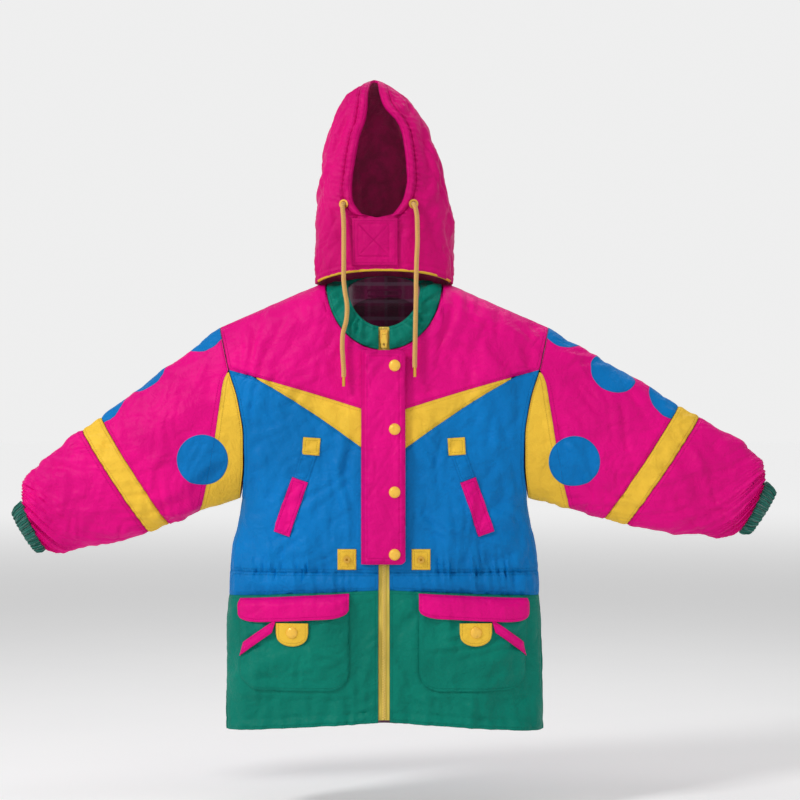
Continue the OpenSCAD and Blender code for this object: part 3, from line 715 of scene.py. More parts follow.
frontEdge = 0.0355  # as a share of the half width, beside the zip
wedgeStart = 0.8349
for hand, tag in ((-1, "Right"), (1, "Left")):
    low = tag.lower()
    span = (frontEdge * hand, hand)
    toWedge = (span[0], wedgeStart * hand)
    top = flat(waist["top"])
    bodyPanel(f"yoke{tag}", -1, span, (neckTop, yokeLow), clothMagenta, "magenta_shell", f"yoke_{low}")
    bodyPanel(f"wedge{tag}", -1, toWedge, (yokeLow, wedgeLow), clothYellow, "yellow_shell")
    bodyPanel(f"front{tag}", -1, span, (frontTop, top), clothBlue, "blue_shell", f"front_{low}")
    bodyPanel(f"casing{tag}", -1, span, (top, casingLow), clothBlue, "blue_shell")
    bodyPanel(f"skirt{tag}", -1, span, (casingLow, hemZ), clothGreen, "green_shell", f"skirt_{low}")
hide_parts("wedges")
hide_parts("front_casings")
# the back's panels from the neck down: name, its low line, cloth, colour slot and node
backs = [
    ("backYoke", flat(backYokeLow), clothMagenta, "magenta_shell", "back_yoke"),
    ("backBody", flat(waist["top"]), clothBlue, "blue_shell", "back_body"),
    ("backCasing", flat(waist["backLow"]), clothBlue, "blue_shell", "back_casing"),
    ("backSkirt", flat(hemZ(1)), clothGreen, "green_shell", "back_skirt"),
]
top = backNeck
for name, bottom, cloth, slotName, node in backs:
    bodyPanel(name, 1, (-1, 1), (top, bottom), cloth, slotName, node)
    top = bottom
print("body panels made")

# pieces laid on the fronts
def overlay(name, x, z, faces, cloth, slotName, *nodes, owner="torso", seed=0, rough=0.5):
    # a patch over the panel: the body's surface with its relief, then faces holds how far the patch's
    # back and front stand above it; the edges are pressed down and a dip follows the stitch line
    base, n = bodyWall(x / halfWidth(z), z, -1)
    own = rough * (crumple(x * 1.6, z * 1.6, 120 + seed, 40) * 0.32)
    outer = base + n * (faces[1] + own)[..., None]
    inner = base + n * (faces[0] + 0 * z)[..., None]
    across = np.cumsum(np.r_[0, np.linalg.norm(np.diff(outer.mean(0), axis=0), axis=1)])[None, :]
    down = np.cumsum(np.r_[0, np.linalg.norm(np.diff(outer.mean(1), axis=0), axis=1)])[:, None]
    seam = seamDistance(across, across.max() - across, down, down.max() - down) + 0 * z
    outer = outer - n * (0.9 * np.exp(-seam / 1.2) + 0.5 * bump(seam, 4.2, 1.1))[..., None]
    obj = shell(name, outer, inner, [cloth], tags={"seam": seam})
    return finishPiece(obj, owner, slotName, *nodes)


def turned(hand, center, turn, size, cell=1.6):
    # grid of a rectangle whose top leans towards the middle; hand is -1 or 1
    p = np.linspace(-size[0] / 2, size[0] / 2, max(6, int(size[0] / cell)))[None, :]
    q = np.linspace(size[1] / 2, -size[1] / 2, max(6, int(size[1] / cell)))[:, None]
    c, s = math.cos(math.radians(turn)), math.sin(math.radians(turn))
    return hand * (center[0] + p * c - q * s), center[1] + p * s + q * c


trims = {
    # middle and size in mm, lean in degrees, and how far the back and the front stand above the cloth
    "welt": {"center": (140, -336), "turn": 19, "size": (25, 86), "faces": (0.5, 4.0), "cloth": clothMagenta,
             "slot": "magenta_shell", "nodes": ["chest_welts"]},
    "square": {"center": (109, -245), "turn": 4, "size": (26, 26), "faces": (0.5, 3.0), "cloth": clothYellow,
               "slot": "yellow_shell", "nodes": ["chest_squares"]},
    "patch": {"center": (55.5, -414), "turn": 0, "size": (28, 31), "faces": (0.4, 2.3), "cloth": clothYellow,
              "slot": "yellow_shell", "nodes": ["waist_patches"]},
    "blueBand": {"center": (119, -276), "turn": 19, "size": (24, 42), "faces": (0.2, 1.8), "cloth": clothBlue,
                 "slot": "blue_shell", "nodes": []},
}
for hand, tag in ((-1, "Right"), (1, "Left")):
    for seed, (kind, t) in enumerate(trims.items(), 1):
        x, z = turned(hand, t["center"], t["turn"], t["size"])
        overlay(f"{kind}{tag}", x, z, t["faces"], t["cloth"], t["slot"], *t["nodes"], seed=seed + 9 * hand)


def corner(u, r):
    # drop of a rounded corner, in mm, along a side that runs from u 0 to 1
    e = np.clip(np.abs(2 * u - 1) - 0.6, 0, None) / 0.4
    return r * (1 - np.sqrt(np.clip(1 - e * e, 0, 1)))


pockets = {
    # sides, mouth and bottom in mm; slope of the mouth, corner radius, puff over the wadding and sag
    "left": 52, "right": 215, "top": -474, "bottom": -612, "slope": 9, "round": 30, "puff": 6, "bag": 2.4,
    "folds": 1.1,
}
flaps = {"top": -465, "length": 36, "round": 12, "thick": 3.0}
tabs = {
    # middle, half width, radius of the drop, straight part, top over the middle, thickness and lean in
    # degrees
    "x": 131, "z": -523, "half": 24.5, "round": 19.0, "straight": 15.5, "top": 14.0, "thick": 2.4, "lean": 8,
}
strips = {"start": (158, -513), "run": (50, -37), "slant": 6, "width": 21}


def pocketSag(u, r):
    return pockets["bag"] * np.sin(math.pi * np.clip(r, 0, 1)) * np.sin(math.pi * u)


def pocket(hand, tag):
    # rounded rectangle puffed by one minus the fourth power across and one minus the cube downwards, with
    # creases, and held down where the tab lies on it
    u = np.linspace(0, 1, 56)[None, :]
    r = np.linspace(0, 1, 48)[:, None]
    x = hand * (pockets["left"] + (pockets["right"] - pockets["left"]) * u) + 0 * r
    top = pockets["top"] - pockets["slope"] * u
    z = top + (pockets["bottom"] + corner(u, pockets["round"]) - top) * r
    puff = (1 - np.abs(2 * u - 1) ** 4) * (1 - r ** 3)
    folds = pockets["folds"] * crumple(x * hand, z * 1.1, 201 + 8 * hand, 48)
    folds = folds * np.clip(12 * u * (1 - u), 0, 1) * np.clip(8 * (1 - r), 0, 1)
    face = 3.2 + pockets["puff"] * puff + pocketSag(u, r) + folds
    underTab = np.exp(-(((np.abs(x) - tabs["x"]) / 38) ** 4) - (((z + 520) / 32) ** 4))
    face = face - underTab * np.clip(face + bodyRelief(x / halfWidth(z), z, -1) - 8.6, 0, None)
    faces = np.minimum(0.6 + 5.4 * puff, face - 1.5), face
    overlay(f"pocket{tag}", x, z, faces, clothGreen, "green_shell", f"pocket_{tag.lower()}",
            seed=5 + hand, rough=0.2)


def pocketFlap(hand, tag):
    # over the pocket's mouth, hinged along its top seam; it swells with the pocket and waves along its
    # free edge
    low = tag.lower()
    u = np.linspace(0, 1, 56)[None, :]
    v = np.linspace(0, 1, 18)[:, None]
    x = hand * (pockets["left"] + (pockets["right"] - pockets["left"]) * u) + 0 * v
    z = flaps["top"] - pockets["slope"] * u - v * (flaps["length"] - corner(u, flaps["round"]))
    swell = pockets["puff"] * (1 - np.abs(2 * u - 1) ** 4)
    back = 0.8 + (4.4 + swell + pockets["bag"] * 0.5) * np.clip(v * 3.2, 0, 1) ** 0.8
    wave = 1.1 * np.sin(u * 9 + 2 * hand) * v + 0.8 * latticeNoise(u * 7 + 3 * hand, v * 2, 44 + hand)
    obj = overlay(f"flap{tag}", x, z, (back, back + flaps["thick"] + wave), clothMagenta, "magenta_shell",
                  f"flap_{low}", owner=None, seed=7 + hand, rough=0.3)
    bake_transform(obj)


def pocketStrip(hand, tag):
    # slanting strip under the flap: a leaning parallelogram that follows the pocket's puff
    a, b = np.linspace(0, 1, 24)[None, :], np.linspace(0, 1, 12)[:, None]
    x = hand * (strips["start"][0] + strips["run"][0] * a + strips["slant"] * b)
    z = strips["start"][1] + strips["run"][1] * a + strips["width"] * (0.5 - b)
    u = (np.abs(x) - pockets["left"]) / (pockets["right"] - pockets["left"])
    r = (pockets["top"] - pockets["slope"] * u - z) / (pockets["top"] - pockets["bottom"])
    puff = pockets["puff"] * (1 - np.abs(2 * u - 1) ** 4) * (1 - r ** 3) + pocketSag(u, r)
    overlay(f"strip{tag}", x, z, (3.6 + puff, 6.4 + puff), clothMagenta, "magenta_shell", "pocket_strips",
            seed=9 + hand, rough=0.2)


def pocketTab(hand, tag):
    # half-round tab on the flap: its drop is the straight part plus a half circle, slightly domed
    low = tag.lower()
    p = np.linspace(-1, 1, 30)[None, :]
    q = np.linspace(0, 1, 16)[:, None]
    seat = skinAt(np.array(hand * float(tabs["x"])), np.array(float(tabs["z"])), -11.6)
    tilt = math.radians(hand * tabs["lean"])
    drop = tabs["straight"] + tabs["round"] * np.sqrt(np.clip(1 - p * p, 0, 1)) ** 0.9
    x = tabs["half"] * p + 0 * q
    z = tabs["z"] + (tabs["top"] - drop * q) + 0 * p
    dome = 1.5 * (1 - p * p) * np.sin(math.pi * np.clip(q * 0.9, 0, 1))
    y = seat[1] + 0.6 + x * math.sin(tilt) - 2.6 - 0.25 * dome
    front = np.stack([seat[0] + x * math.cos(tilt), y, z], -1)
    rear = front + np.array([0, tabs["thick"], 0])
    edge = np.minimum(tabs["half"] * (1 - np.abs(p)) + 0 * q, (1 - q) * drop)
    front[..., 1] += 0.9 * np.exp(-edge / 1.2)
    obj = shell(f"tab{tag}", front, rear, [clothYellow], tags={"seam": edge})
    finishPiece(obj, f"flap_{low}", "yellow_shell", f"tab_{low}")


for hand, tag in ((-1, "Right"), (1, "Left")):
    pocket(hand, tag)
    pocketFlap(hand, tag)
    pocketStrip(hand, tag)
    pocketTab(hand, tag)
print("pockets and trims made")

# placket, zip and hang loop
placket = {
    # edges, back face and front face in mm, width of the sewn edge, and levels of the caps
    "left": -34.0, "right": 32.0, "top": -101.0, "bottom": -421.0, "inner": -69.6, "outer": -73.0, "sewn": 8,
    "caps": (-124, -219, -313, -406),
}
# a flat strip whose left edge curves back to its seam; creases and edge puckers die out under the caps
u = np.linspace(0, 1, 44)[None, :]
v = np.linspace(0, 1, 200)[:, None]
x = placket["left"] + (placket["right"] - placket["left"]) * u + 0 * v
cut = 5 * np.clip((x - 24) / 8, 0, 1) ** 2
z = (placket["top"] - cut) + (placket["bottom"] - placket["top"] + 2 * cut) * v
sewn = ease(1 - np.clip((x - placket["left"] - 1) / placket["sewn"], 0, 1))
calm = 1 - sum(np.exp(-(((x - 16) / 13) ** 2) - (((z - cap) / 14) ** 2)) for cap in placket["caps"])
edge = seamDistance(x - placket["left"], placket["right"] - x, placket["top"] - z, z - placket["bottom"])
puckers = 1.5 * np.exp(-np.abs(edge - 9) / 6) * (gathers(z + 0.3 * x, 303, 17) - 0.5)
folds = (0.5 * crumple(x * 1.4, z, 301, 70) + puckers) * calm
face = placket["outer"] + 7.2 * sewn - np.clip(folds, -2.4, 2.2)
face = face + 0.7 * bump(edge, 9, 1.2) + 1.2 * np.exp(-edge / 1.3)
back = np.minimum(placket["inner"] + 7.0 * sewn, -62.6)
outer, inner = np.stack([x, face, z], -1), np.stack([x, back + 0 * x, z], -1)
obj = shell("placketStrip", outer, inner, [clothMagenta], tags={"seam": np.clip(edge - 4.8, 0, None)})
finishPiece(obj, "placket", "magenta_shell", "placket")

# tapes: two flat strips beside the zip's middle, with a slight wave down their length
zipTape = ribbed("zipTape", linear((250, 212, 92)), 0.0022, 0.25)
for hand, tag in ((-1, "Right"), (1, "Left")):
    t = np.linspace(-66, -655, 260)[:, None]
    w = np.linspace(0.3, 9.4, 8)[None, :]
    wave = 0.25 * latticeNoise(t / 25, w * 0, 61 + hand)
    outer = np.stack([hand * w + 0 * t, -56.6 - wave + 0 * w, t + 0 * w], -1)
    inner = outer + np.array([0, 1.2, 0])
    obj = shell(f"zipTape{tag}", outer, inner, [zipTape], tags={"seam": 0 * t + 9 - w})
    finishPiece(obj, "torso", "yellow_tape", "zip_tapes")


def boxes(name, centers, sizes, material, owner, slotName, *nodes):
    # many small blocks in one mesh; corners are center plus or minus half the size
    signs = np.array([
        [-1, -1, -1], [1, -1, -1], [1, 1, -1], [-1, 1, -1], [-1, -1, 1], [1, -1, 1], [1, 1, 1], [-1, 1, 1],
    ])
    points = (centers[:, None] + 0.5 * sizes[:, None] * signs).reshape(-1, 3)
    one = np.array([[0, 3, 2, 1], [4, 5, 6, 7], [0, 1, 5, 4], [1, 2, 6, 5], [2, 3, 7, 6], [3, 0, 4, 7]])
    quads = (one[None] + 8 * np.arange(len(centers))[:, None, None]).reshape(-1, 4)
    obj = makeMesh(name, points, quads, points[:, [0, 2]], [material], np.zeros(len(quads)), {}, 30)
    return finishPiece(obj, owner, slotName, *nodes)


zipPlastic = metalFinish("zipPlastic", linear((246, 214, 110)), 0.42, metal=0.0, coat=0.15)
pitch = 1.9  # from one tooth to the next
level = np.arange(-67.5, -654, -pitch)
side = np.where(np.arange(len(level)) % 2 == 0, -1, 1)
heads = np.stack([side * 0.75, np.full(len(level), -58.0), level], -1)
legs = np.stack([side * 2.1, np.full(len(level), -57.7), level], -1)
sizes = [np.tile(size, (len(level), 1)) for size in ([2.6, 1.9, 1.35], [1.7, 1.3, 1.0])]
boxes("zipTeeth", np.concatenate([heads, legs]), np.concatenate(sizes), zipPlastic,
      "torso", "zip_plastic", "zip_teeth")

# hang loop: a flat ring whose corners are squared by a 0.35 power of sine and cosine
t = np.linspace(0, 2 * math.pi, 96, endpoint=False)[None, :]
ring = np.linspace(0, 1, 7)[:, None]
squareX = np.sign(np.cos(t)) * np.abs(np.cos(t)) ** 0.35
squareZ = np.sign(np.sin(t)) * np.abs(np.sin(t)) ** 0.35
x, z = (30 + (25 - 30) * ring) * squareX, -11.5 + (6.5 + (3.1 - 6.5) * ring) * squareZ
y = 25.9 - 0.4 * np.sin(math.pi * ring) + 0.25 * latticeNoise(x / 6, z / 6, 71)
outer = np.stack([x, y, z], -1)
loopTape = ribbed("loopTape", dyes["lining"], 0.002, 0.4)
obj = shell("hangLoop", outer, outer + np.array([0, 2.2, 0]), [loopTape], wrap=True)
finishPiece(obj, "torso", "magenta_shell", "hang_loop")
print("placket and zip made")

# sleeves
sleeves = {
    # how far each arm reaches past the armhole and sinks per mm of reach, by hand; the rings were set out for
    # a reach of 331 from 250
    "reach": {-1: 316.0, 1: 346.0}, "droop": {-1: 0.047, 1: -0.047}, "from": 250, "setOut": 331, "wall": 3.6,
    "sections": np.array([
        # x and z of the ring's top, x and z of its bottom, and its half depth
        [249, -65, 217, -325, 48], [311, -105, 288, -346, 48], [380, -150, 312, -356, 47],
        [440, -192, 331, -361, 45], [470, -210, 363, -372, 43], [531, -253, 430, -388, 38],
        [555, -280, 490, -393, 32], [566, -316, 528, -390, 27], [581, -333, 545, -391, 24.0],
    ]),
}
# blue dots: x, z and radius of the flat ones; x, y, z and radius of those near the top
bigDots = {-1: (-273, -266, 38.5), 1: (286, -268, 38.5)}
topDots = {
    -1: [(-268, 4, -78, 36), (-350, 16, -150, 38), (-412, 14, -200, 36)],
    1: [(268, 4, -72, 36), (351, -30, -126, 39), (432, -4, -176, 36)],
}


def cubic(p, slope, at):
    # through points with given slopes: the four cubic weights of the part between two of them
    i = np.clip(np.floor(at).astype(int), 0, len(p) - 2)
    f = (at - i)[..., None]
    ends = p[i] * (1 + 2 * f) * (1 - f) ** 2 + p[i + 1] * f * f * (3 - 2 * f)
    return ends + slope[i] * f * (1 - f) ** 2 - slope[i + 1] * f * f * (1 - f)


def sections(hand, t):
    # section values at t along the sleeve: cubic through the rings, moved to this sleeve's reach and droop
    table = sleeves["sections"].copy()
    start = sleeves["from"]
    for c in (0, 2):
        past = table[:, c] > start
        table[past, c] = start + (table[past, c] - start) * sleeves["reach"][hand] / sleeves["setOut"]
        table[:, c + 1] -= sleeves["droop"][hand] * np.clip(table[:, c] - start, 0, None)
    slope = np.gradient(table, axis=0)
    slope[6:] *= 0.6
    return cubic(table, slope, t)


def sleevePoint(hand, t, a):
    # Ring round the arm: the middle of its top and bottom points, plus the half line between them times
    # the cosine, and the half depth times the sine. Up to the first ring it runs straight out of the
    # body's side, from the armhole's own ellipse.
    cosine, sine = np.cos(a), np.sin(a)

    def ring(v):
        top, bottom = v[..., 0:2], v[..., 2:4]
        return (top + bottom) / 2 + (top - bottom) / 2 * cosine[..., None]

    v = sections(hand, t)
    first = sections(hand, np.clip(t, 1, 8))
    z = body["armMid"] + body["armHalf"] * cosine
    x = halfWidth(z) + 1 + 1.1 * np.clip(-cosine, 0, None)
    part = np.clip(t, 0, 1)
    line = np.stack([x, z], -1) * (1 - part[..., None]) + ring(first) * part[..., None]
    p = np.where(t[..., None] < 1, line, ring(v))
    near = (body["armDepth"] * (1 - part) + first[..., 4] * part) * sine
    y = np.where(t < 1, near, v[..., 4] * sine)
    return np.stack([hand * p[..., 0], y, p[..., 1]], -1)


def sleeveRelief(hand, p, t, a):
    # folds along the arm, puckers at the armhole and both sides of the band, strong gathers into the cuff
    seed = 401 + 40 * hand
    turn = -38 * hand
    front = ease(np.clip(0.5 - 0.9 * np.sin(a), 0, 1))
    x, z = p[..., 0], p[..., 2]
    broad = crumple(x, z, seed, turn) * front + crumple(x, z, seed + 20, turn) * (1 - front)
    v = sections(hand, np.clip(t, 0, 8))
    halves = (v[..., 0:2] - v[..., 2:4]) / 2
    around = a * (np.linalg.norm(halves, axis=-1) * 0.7 + v[..., 4] * 0.5)
    pull = billow(around / 2.2, t * 46, 90, 74, 20, seed + 5) * (5 * np.clip((t - 4) / 2.6, 0, 1) + 1.6)
    r = 1.2 * broad + 1.3 * pull * np.clip((7.3 - t), 0, 1)
    r += 5.0 * bump(t, 1.9, 1.1) * (0.3 + 0.7 * latticeNoise(x / 70, z / 90, seed + 9))

    def ridges(pitch, number):
        return np.where(front > 0.5, gathers(around, number, pitch), gathers(around + 3, number, pitch)) - 0.5

    head = np.exp(-np.clip(t, 0, None) * 62 / 20)
    r = r * (1 - 0.8 * head) + 3.2 * head * ridges(15, seed + 1)
    for at in (3.0, 4.0):
        near = np.exp(-np.abs(t - at) * 50 / 14)
        r = r * (1 - 0.35 * near) + 2.0 * near * ridges(18, seed + 2)
        r = r - 2.2 * np.exp(-((np.abs(t - at) * 50 / 3.4) ** 2))
    cuff = np.exp(-np.clip(7 - t, 0, None) * 28 / 20) * (t <= 7.02)
    r = r * (1 - 0.75 * cuff) + (6.2 * ridges(13, seed + 3) + 2.4 * ridges(7, seed + 4) - 1.5) * cuff
    r += 7.0 * bump(t, 6.3, 0.6) - 4.5 * np.exp(-np.clip(7 - t, 0, None) * 28 / 7)
    return r * np.clip(t * 2.6, 0, 1) - 0.6 * np.clip(1 - t * 12, 0, 1)


def dotReach(hand, p):
    # millimetres inside the nearest blue dot, below 0 outside
    cx, cz, r = bigDots[hand]
    best = r - np.hypot(p[..., 0] - cx, p[..., 2] - cz) - 90 * (p[..., 1] > 4)
    for x, y, z, reach in topDots[hand]:
        best = np.maximum(best, reach - np.linalg.norm(p - np.array([x, y, z]), axis=-1))
    return np.clip(best, -12, 60)


def gussetEdge(a):
    # how far the gusset reaches along the arm: 0 at its tips, a power of 0.55 of the angle past them
    b = np.minimum(a, 2 * math.pi - a) * 180 / math.pi
    return 0.93 * (np.clip(b - 61.5, 0, None) / 118.5) ** 0.55


def sleevePiece(name, hand, t, a, cloth, wrap=True, dots=True):
    # part of the arm: its rings from t to t, pushed out along their normals by the sleeve's relief
    t, a = np.broadcast_arrays(t, a)
    base = sleevePoint(hand, t, a)
    v = sections(hand, np.clip(t, 0, 8))
    axis = (v[..., 0:2] + v[..., 2:4]) / 2
    n = facing(base, base - np.stack([hand * axis[..., 0], 0 * t, axis[..., 1]], -1), wrap)
    outer = base + n * sleeveRelief(hand, base, t, a)[..., None]
    inner = outer - n * sleeves["wall"]
    tags = {"seam": np.minimum(np.abs(t - t[:1]), np.abs(t[-1:] - t)) * 48}
    if dots:
        tags["dot"] = dotReach(hand, base)
    return shell(name, outer, inner, [cloth, liningCloth], wrap, tags)


def down(rows):
    return np.linspace(0, 1, rows)[:, None]


turn = np.linspace(0, 2 * math.pi, 168, endpoint=False)[None, :]
for hand, tag in ((-1, "Right"), (1, "Left")):
    low = tag.lower()
    # sleeve from the gusset's edge to the band
    first = gussetEdge(turn) - 0.07 * (gussetEdge(turn) <= 0) + 0.001
    upper = sleevePiece(f"sleeve{tag}", hand, first + (2.99 - first) * down(62), turn, sleeveMagenta)
    finishPiece(upper, None, "magenta_shell", f"sleeve_cap_{low}", f"sleeve_{low}")
    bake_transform(upper)
    # gusset round the lower part of the armhole, with closer columns at its two tips
    k = np.linspace(0, 1, 130)[None, :]
    a = np.radians(61.7 + 236.6 * (k - 0.13 * np.sin(2 * math.pi * k)))
    t = -0.06 + (gussetEdge(a) + 0.058) * down(26)
    gusset = sleevePiece(f"gusset{tag}", hand, t, a, gussetYellow, wrap=False)
    finishPiece(gusset, None, "yellow_shell", f"gusset_{low}")
    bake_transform(gusset)
    # band round the elbow, and the forearm below it
    t = 3.006 + 0.984 * down(16) + 0 * turn
    band = sleevePiece(f"band{tag}", hand, t, turn, clothYellow, dots=False)
    finishPiece(band, None, "yellow_shell", f"band_{low}")
    mid = sections(hand, np.array([3.0, 4.0]))
    ends = [(hand * (m[0] + m[2]) / 2000, 0, (m[1] + m[3]) / 2000) for m in mid]
    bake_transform(band)
    t = 4.008 + 2.99 * down(84) + 0 * turn
    forearm = sleevePiece(f"forearm{tag}", hand, t, turn, clothMagenta, dots=False)
    finishPiece(forearm, f"forearm_{low}", "magenta_shell", f"forearm_{low}", fill=panels["fill"])
    # cuff: rings with a wave of 26 ribs, a finer one of 45 and a slight barrel
    v = down(26)
    t = 6.985 + 1.015 * v + 0 * turn
    base = sleevePoint(hand, t, turn + 0 * v)
    n = surfaceNormals(base, True)
    n = n * np.sign((n[..., 1] * base[..., 1]).sum())
    ribs = 1.5 * np.cos(turn * 26 + 1.4 * np.sin(turn * 5)) + 0.8 * np.cos(turn * 45 + 4 * v)
    lift = ribs + 2.6 * np.sin(math.pi * v) + 1.6 * latticeNoise(turn * 4, v * 2, 91 + hand)
    outer = base + n * lift[..., None]
    cuff = shell(f"cuff{tag}", outer, outer - n * 3, [cuffCloth, cuffCloth], True, {"seam": 9 + 0 * t})
    finishPiece(cuff, f"forearm_{low}", "green_shell", f"cuff_{low}", fill=0.3)
print("sleeves made")

# hood
hood = {
    # casing round the face, cloth wall, height of the gathers, share of the folds, lean and height of the tip
    # and tuck at the nape, in mm, and how round each level is
    "brim": 14.0, "wall": 3.4, "gather": 2.2, "folds": 1.15, "lean": -15, "tip": 312, "nape": 14,
    "round": 0.83,
}


def table(pairs):
    # smooth lookup by height; the corners of the table are rounded over about 8 mm
    z, value = np.array(pairs, float)[::-1].T
    fine = np.arange(z[0], z[-1] + 0.5, 0.5)
    rough = np.pad(np.interp(fine, z, value), 30, mode="reflect", reflect_type="odd")
    weight = np.exp(-0.5 * (np.arange(-30, 31) / 14.0) ** 2)
    soft = np.convolve(rough, weight / weight.sum(), mode="valid")
    return lambda at: np.interp(at, fine, soft)


# half width and half depth by height, then half width and middle of the face opening
hoodWidth = table([
    [312, 0.6], [305, 20], [288, 45], [264, 62], [236, 75], [190, 90], [140, 99], [90, 106],
    [40, 108], [0, 105],
])
hoodDepth = table([
    [312, 0.6], [305, 18], [288, 33], [264, 44], [236, 53], [190, 60], [99, 60], [40, 55], [0, 50],
])
gapHalf = table([
    [311, 5], [290, 9], [268, 12], [242, 26], [225, 33], [190, 39], [150, 43], [120, 38], [99, 20],
])
gapMid = table([
    [311, -15], [290, -16], [268, -13], [242, -3], [225, -4], [190, -5], [150, -7], [120, -10], [99, -10],
])


def power(v, p):
    return np.sign(v) * np.abs(v) ** p


def hoodLean(z):
    return hood["lean"] * (z / hood["tip"]) ** 3


def hoodPoint(a, z, d=0.0):
    # Ring at each level, with a at 0 in front: x is the lean plus the half width times the sine to the
    # power 0.83, y the half depth times the cosine to the same power. The lean grows with the cube of the
    # height.
    w, h = np.maximum(hoodWidth(z) - d, 0.3), np.maximum(hoodDepth(z) - d, 0.3)
    x, y = hoodLean(z) + w * power(np.sin(a), hood["round"]), -h * power(np.cos(a), hood["round"])
    return np.stack([x, y, z + 0 * a], -1)


def hoodAngle(x, z):
    # the angle of the front point at x
    f = np.clip((x - hoodLean(z)) / hoodWidth(z), -0.999, 0.999)
    return np.sign(f) * np.arcsin(np.abs(f) ** (1 / hood["round"]))


def throatLow(a):
    # the lower edge rises to the front with the cosine to the power 1.5
    return 0.8 + 18.2 * np.clip(np.cos(a), 0, None) ** 1.5


def hoodRelief(p, a, edge):
    # folds that fall from the top, gathered casing round the face, quiet under the cords and chin flap
    one = np.where(a > math.pi, a - 2 * math.pi, a)
    w = ease(np.clip((np.abs(one) / math.pi - 0.5) / 0.4, 0, 1))
    x, z = p[..., 0], p[..., 2]
    r = crumple(one * 80, z * 0.9, 611, 74) * (1 - w) + crumple(a * 80, z * 0.9, 633, 100) * w
    r = r * hood["folds"]
    r += 4.5 * bump(z, 215, 70) * latticeNoise(one * 3.1, z / 90, 650) * (1 - w)
    front = p[..., 1] < 0
    cords = front * (z < 124) * np.maximum(bump(x, -60, 17), bump(x, 48, 16))
    flap = front * (z < 100) * (z > 22) * (x > -54) * (x < 26)
    r = r * (1 - 0.72 * np.maximum(cords, flap)) - 1.4 * np.maximum(cords, flap)
    brim = hood["brim"]
    inside = edge < brim
    near = np.clip(edge / brim, 0, 1)
    r = r * (0.45 + 0.55 * np.clip((edge - brim) / 22, 0, 1))
    pleats = gathers(z + 0.25 * x, 661, 9) - 0.5
    roll = 2.6 * np.sin(math.pi * near) ** 0.7 + hood["gather"] * pleats * (0.35 + 0.65 * near)
    r += np.where(inside, roll, 0)
    r += np.where(inside, 0, hood["gather"] * 1.3 * pleats * np.exp(-(edge - brim) / 12))
    r -= 2.4 * np.exp(-(((edge - brim) / 1.9) ** 2)) + 2.2 * np.exp(-edge / 2.2)
    hem = z - throatLow(a)
    r = r * (0.35 + 0.65 * np.clip(hem / 30, 0, 1)) - 1.2 * np.exp(-(((hem - 11) / 1.6) ** 2))
    r = r + 0.8 * np.exp(-hem / 16) * (gathers(one * 90, 681, 13) - 0.5)
    return r * np.clip((hood["tip"] - z) / 26, 0.25, 1)


# Shell: rows fall from the tip to the lower edge. Columns run from one side of the face opening round the
# back to the other; below the opening they meet in front.
v = down(150)
c = np.linspace(0, 1, 236)[None, :]
c = c - 0.062 * np.sin(2 * math.pi * c)  # closer columns beside the opening
behind = ease(np.clip(-np.cos(2 * math.pi * c) - 0.1, 0, 0.9) / 0.9)
low = throatLow(2 * math.pi * c) - hood["nape"] * behind
z = 311.3 + (low - 311.3) * v
join = np.clip((z - 98.5) / 4.5, 0, 1) ** 0.5
half = gapHalf(np.maximum(z, 99)) * join
side = gapMid(np.maximum(z, 99))
first, last = hoodAngle(side + half, z), 2 * math.pi + hoodAngle(side - half, z)
a = first + (last - first) * c
base = hoodPoint(a, z)
base[..., 1] *= 1 - 0.1 * behind * np.clip((26 - z) / 38, 0, 1)  # tucked in at the nape
n = facing(base, base * np.array([1, 1, 0]))
step = np.linalg.norm(np.diff(base, axis=1), axis=-1)
run = np.concatenate([np.zeros_like(z[:, :1]), np.cumsum(step, 1)], 1)
ends = np.minimum(run, run[:, -1:] - run)
side = np.clip(np.abs(base[..., 0] + 10) - 17, 0, None)
below = np.hypot(side, np.clip(99.5 - z, 0, None)) + 80 * (base[..., 1] > 0)
edge = np.where(z > 99.5, np.minimum(ends, np.hypot(ends, z - 99.5) + 99), below)
lift = hoodRelief(base, a, edge)
outer = base + n * lift[..., None]
inner = outer - n * hood["wall"]
tag = np.minimum(np.abs(edge - hood["brim"]), np.minimum(edge + 1, z - low))
obj = shell("hoodShell", outer, inner, [clothHood, hoodLining], tags={"seam": tag})
finishPiece(obj, None, "magenta_shell", "hood_throat", "hood_sides", "hood_crown", fill=panels["fill"])
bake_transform(obj)

# Chin flap: the hood's own front, lifted, with a stitched box and its two diagonals pressed in.
chin = {"left": -48.0, "right": 21.0, "low": 26.0, "high": 97.0, "box": (-38, 8, 40, 88), "lift": 3.6}
u, v = np.linspace(0, 1, 52)[None, :], down(52)
x = chin["left"] + (chin["right"] - chin["left"]) * u + 0 * v
z = chin["high"] + (chin["low"] - chin["high"]) * v + 0 * u
base = hoodPoint(hoodAngle(x, z), z)
n = facing(base, np.array([0, -1, 0]))
x0, x1, z0, z1 = chin["box"]
inside = (x > x0) & (x < x1) & (z > z0) & (z < z1)
outsideBox = np.hypot(x - np.clip(x, x0, x1), z - np.clip(z, z0, z1))
boxLine = np.where(inside, seamDistance(x - x0, x1 - x, z - z0, z1 - z), outsideBox)
g, h = (x - x0) / (x1 - x0), (z - z0) / (z1 - z0)
cross = np.minimum(np.abs(g - h), np.abs(g + h - 1)) * 33 + 99 * ~inside
stitch = np.minimum(boxLine, cross)
edge = seamDistance(x - chin["left"], chin["right"] - x, z - chin["low"], chin["high"] - z)
lift = chin["lift"] + 0.3 * crumple(x * 1.4, z * 1.4, 701, 50)
lift = lift + 0.9 * np.clip(np.sin(g * 3.1) * np.sin(h * 3.1), 0, 1) * inside
